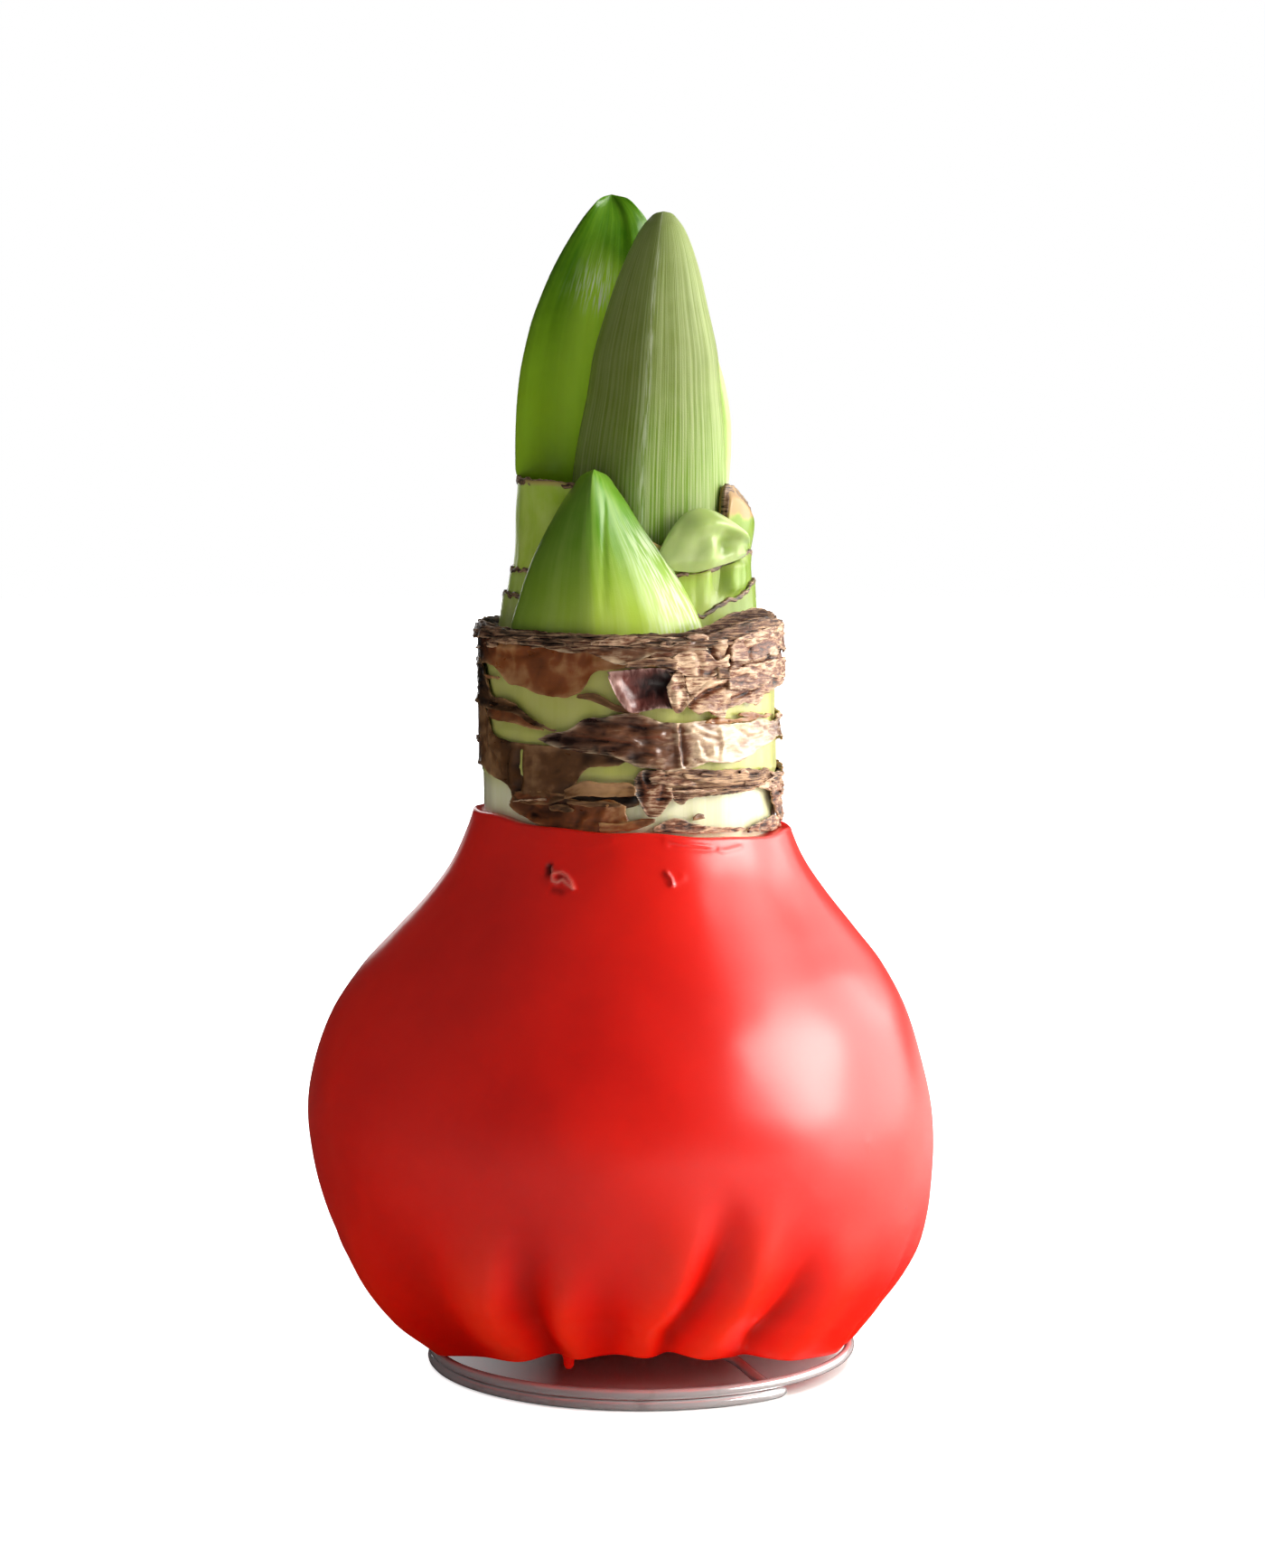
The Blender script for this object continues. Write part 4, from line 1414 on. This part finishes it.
BUD = {
    "half": [(102, 9.6), (112, 10.9), (124, 11.4), (132, 11.2), (137.7, 10.6), (143, 9.8),
             (149.5, 9.0), (156.8, 7.1), (160, 6.2), (162.6, 5.3), (165.1, 4.3), (167.4, 3.15),
             (169, 1.9), (169.6, 1.1), (169.8, 0)],
    "deep": [(102, 6.2), (112, 7.2), (132, 7.4), (150, 6.3), (160, 4.6), (167.4, 2.6), (169.8, 0)],
    "middle": [(102, 3.6), (120, 4.3), (132, 4.6), (143, 5.2), (156.8, 5.8), (165, 6.35),
               (169.8, 6.6)],
    "y": [(102, -1.4), (132, -1.2), (169.8, -0.6)],
    "turn": 0, "cup": 0.8, "edge": 1.0, "foot": 102.3, "marks": bud_marks,
}
LEAF_BACK = {
    "half": [(102, 8.0), (126, 9.4), (130.4, 10.2), (131.6, 11.3), (134, 11.5), (145, 11.5),
             (153.3, 10.6), (157.2, 9.8), (161.2, 8.7), (165.2, 7.1), (169.1, 5.0), (171.1, 3.4),
             (172.4, 1.9), (173, 0)],
    "deep": [(102, 4.2), (126, 4.8), (134, 5.6), (150, 5.0), (161, 3.9), (169, 2.4), (173, 0)],
    "middle": [(102, -3.7), (126, -4.1), (134, -4.5), (145, -4.0), (153.3, -3.2), (161.2, -2.0),
               (169.1, -1.0), (173, -1.0)],
    "y": [(102, 8.2), (130, 8.4), (173, 8.0)],
    "turn": 16, "cup": -1.6, "edge": 1.0, "foot": 102.3, "marks": back_marks,
}
LEAF_BEHIND = {
    "half": [(102, 5.6), (124, 6.8), (133, 7.5), (138, 7.6), (141.5, 7.3), (146.3, 6.3),
             (151.3, 4.6), (155.5, 3.0), (158.6, 1.5), (160, 0)],
    "deep": [(102, 2.8), (132, 3.4), (151, 2.4), (160, 0)],
    "middle": [(102, 8.6), (133, 9.5), (151, 9.6), (160, 9.6)],
    "y": [(102, 8.6), (133, 8.8), (160, 7.4)],
    "turn": -14, "cup": -1.2, "edge": 1.0, "foot": 102.3, "marks": no_marks,
}
LEAF_FRONT = {
    "half": [(102, 12.6), (109, 13.8), (114.3, 12.1), (119.5, 9.6), (124.6, 6.5), (127.6, 4.7),
             (129.9, 3.1), (131.6, 1.8), (132.4, 0)],
    "deep": [(102, 3.4), (109, 4.0), (119.5, 3.6), (126, 2.7), (130, 1.8), (132.4, 0)],
    "middle": [(102, -1.4), (109, -1.55), (114.3, -2.0), (119.5, -2.7), (124.6, -3.3),
               (132.4, -3.4)],
    "y": [(102, -15.5), (109, -15.6), (120, -14.9), (132.4, -13.4)],
    "turn": 0, "cup": 4.6, "edge": 0.9, "foot": 102.3, "marks": front_marks,
}


def bud_relief(u, z):
    keel = 0.3 * bell(u, -0.12, 0.2) * ease(112, 126, z) * (1 - 0.8 * ease(152, 166, z))
    return keel + 0.03 * np.sin(75 * u) * bell(u, 0.2, 0.4)


def back_relief(u, z):
    step = 0.5 * ease(0.16, 0.4, u) * (1 - ease(0.55, 0.95, u)) * ease(150, 160, z)
    bend = 0.35 * bell(z, 157, 5) * bell(u, 0.1, 0.5)
    return step + bend + 0.05 * np.sin(38 * u) * bell(z, 156, 9)


def behind_relief(u, z):
    return 0.03 * np.sin(40 * u) + 0 * z


def front_relief(u, z):
    across = through(LEAF_FRONT["middle"], z) + through(LEAF_FRONT["half"], z) * u
    keel = 0.7 * np.exp(-np.abs(u + 0.13) / 0.25) * ease(104, 116, z)
    seam = -0.2 * bell(across, -4.1, 0.22) * ease(119, 122, z)
    second = -0.22 * bell(across, -1.9, 0.3) * ease(110, 116, z)
    return keel + seam + second + 0.025 * np.sin(34 * u) * ease(0.1, 0.4, u)


bud_green = living("bud skin", "74982a", "74843c", "bcc890", (126.0, 150.0), 3.2, 1.0, 0.15,
                   dry="5e6a16", bump=0.06, Coat_Weight=0.1, Coat_Roughness=0.4)
back_green = living("dark leaf", "8cb216", "386a02", "90c028", (138.0, 165.0), 0.7, 0.35, 0.2,
                    dry="ceff48", bump=0.05, Coat_Weight=0.6, Coat_Roughness=0.2)
behind_green = living("pale leaf", "bcd87c", "b0d070", "dcecb4", (130.0, 150.0), 1.2, 0.35, 0.2)
front_green = living("fresh leaf", "c0da48", "548c04", "dcee8c", (105.0, 126.0), 0.6, 0.3, 0.1,
                     dry="5a7c04", bump=0.04, Coat_Weight=0.7, Coat_Roughness=0.3,
                     Subsurface_Weight=0.1)

for name, node, slot, form, relief, material in (
    ("flower_bud_spathe", "flower_bud", "bud_skin", BUD, bud_relief, bud_green),
    ("leaf_back_pair", "leaf_back", "dark_leaf", LEAF_BACK, back_relief, back_green),
    ("leaf_behind_edge", "leaf_behind_bud", "pale_leaf", LEAF_BEHIND, behind_relief, behind_green),
    ("leaf_front_pair", "leaf_front", "fresh_leaf", LEAF_FRONT, front_relief, front_green),
):
    points, faces, maps = shoot(form, relief)
    piece = new_piece(name, points, faces, maps, [material])
    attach(piece, "root")
    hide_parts(node)

# ---- Table, light and camera --------------------------------------------------------------
# A plain pale table in soft daylight: wide windows at the right, narrow ones behind, and
# light walls all round that show little in the gloss of the wax and the leaves.

WALLS = {"in_front": 0.16, "behind": 0.38, "mirrored": 0.01}
TABLE_BOUNCE = 0.24

TABLE = {"radius": 4, "sides": 96}  # metres
floor_mesh = bpy.data.meshes.new("table")
turns = np.linspace(0, 2 * np.pi, TABLE["sides"], endpoint=False)
edge = [(TABLE["radius"] * np.cos(a), TABLE["radius"] * np.sin(a), 0.0) for a in turns]
floor_mesh.from_pydata(edge, [], [list(range(TABLE["sides"]))])
floor = bpy.data.objects.new("table", floor_mesh)
bpy.context.scene.collection.objects.link(floor)
table_white, tree, shader = new_material("pale table", Roughness=0.8, Specular_IOR_Level=0.2)
path = add_node(tree, "ShaderNodeLightPath").outputs
place = object_place(tree)
middle = (RING["x"] * MM, RING["y"] * MM, 0.0)
reach = add_node(tree, "ShaderNodeVectorMath", {0: place, 1: middle}, operation="DISTANCE")
reach = reach.outputs["Value"]
apart = split(tree, place)
left_part = add_range(tree, apart["X"], 0.05, 0.13, 1.0, 0.0)
mirrored = multiply(tree, path["Is Glossy Ray"], left_part)
paler = add_mix(tree, mirrored, colour("f1efec"), colour("201d1b"))
tree.links.new(paler, shader.inputs["Base Color"])
glow = add_range(tree, reach, 0.0308, 0.0328)
aside = add_math(tree, "SUBTRACT", apart["X"], RING["x"] * MM)
for distance, near, far, most in (
    (aside, -0.012, -0.03, 0.3), (aside, 0.012, 0.03, 0.12), (reach, 0.08, 0.45, 0.6),
):
    glow = add_math(tree, "ADD", glow, add_range(tree, distance, near, far, 0.0, most))
shader.inputs["Emission Color"].default_value = (1.0, 1.0, 1.0, 1.0)
seen = multiply(tree, glow, path["Is Camera Ray"])
ahead = add_range(tree, apart["Y"], 0.0, -0.16, 0.0, TABLE_BOUNCE)
thrown = multiply(tree, ahead, path["Is Diffuse Ray"])
tree.links.new(add_math(tree, "ADD", seen, thrown), shader.inputs["Emission Strength"])
floor_mesh.materials.append(table_white)

world = bpy.data.worlds.new("daylight")
bpy.context.scene.world = world
world.use_nodes = True
tree = world.node_tree
walls = tree.nodes["Background"]
path = add_node(tree, "ShaderNodeLightPath").outputs
towards = add_node(tree, "ShaderNodeTexCoord").outputs["Generated"]
backwards = split(tree, towards)["Y"]
room = add_range(tree, backwards, -1.0, 0.0, WALLS["in_front"], WALLS["behind"])
lighting = add_node(tree, "ShaderNodeMix", {0: path["Is Diffuse Ray"], 2: WALLS["mirrored"], 3: room},
                    data_type="FLOAT").outputs[0]
strength = add_node(tree, "ShaderNodeMix", {0: path["Is Camera Ray"], 2: lighting, 3: 1.0},
                    data_type="FLOAT").outputs[0]
walls.inputs["Color"].default_value = (1.0, 1.0, 1.0, 1.0)
tree.links.new(strength, walls.inputs["Strength"])

AIM = Vector((0.0, 0.0, 0.07))


def window(name, towards, distance, size, watts, tone):
    """A soft rectangular light in a direction from the bulb, facing it."""
    light = bpy.data.lights.new(name, "AREA")
    light.shape = "ELLIPSE"
    light.size, light.size_y = size
    light.energy = watts
    light.color = tone
    lamp = bpy.data.objects.new(name, light)
    lamp.location = AIM + Vector(towards).normalized() * distance
    lamp.rotation_euler = (AIM - lamp.location).to_track_quat("-Z", "Y").to_euler()
    bpy.context.scene.collection.objects.link(lamp)


window("wide_window", (0.90, -0.26, 0.36), 0.75, (0.56, 0.42), 4.7, (1.0, 0.98, 0.94))
window("curtain", (0.96, 0.18, 0.12), 0.9, (1.1, 0.9), 9.0, (1.0, 0.98, 0.95))
window("upper_pane", (0.71, 0.05, 0.70), 0.8, (0.42, 0.3), 1.1, (1.0, 0.98, 0.95))
window("skylight", (0.6, 0.66, 0.45), 0.9, (0.8, 0.6), 1.7, (1.0, 0.98, 0.95))
window("far_window", (0.71, 0.70, 0.13), 0.8, (0.2, 0.1), 0.12, (1.0, 0.99, 0.96))
window("back_window", (-0.26, 0.95, 0.28), 0.8, (0.12, 0.5), 0.5, (1.0, 0.99, 0.97))

CAMERA = {"place": (2.1, -500.0, 128.0), "looks_down": 4.76, "lens": 78.2, "sensor": 36}
view_camera = bpy.data.cameras.new("camera")
view_camera.lens = CAMERA["lens"]
view_camera.sensor_width = CAMERA["sensor"]
camera = bpy.data.objects.new("camera", view_camera)
camera.location = Vector(CAMERA["place"]) * MM
camera.rotation_euler = (np.radians(90 - CAMERA["looks_down"]), 0.0, 0.0)
bpy.context.scene.collection.objects.link(camera)
bpy.context.scene.camera = camera
bpy.context.scene.view_settings.view_transform = "Standard"
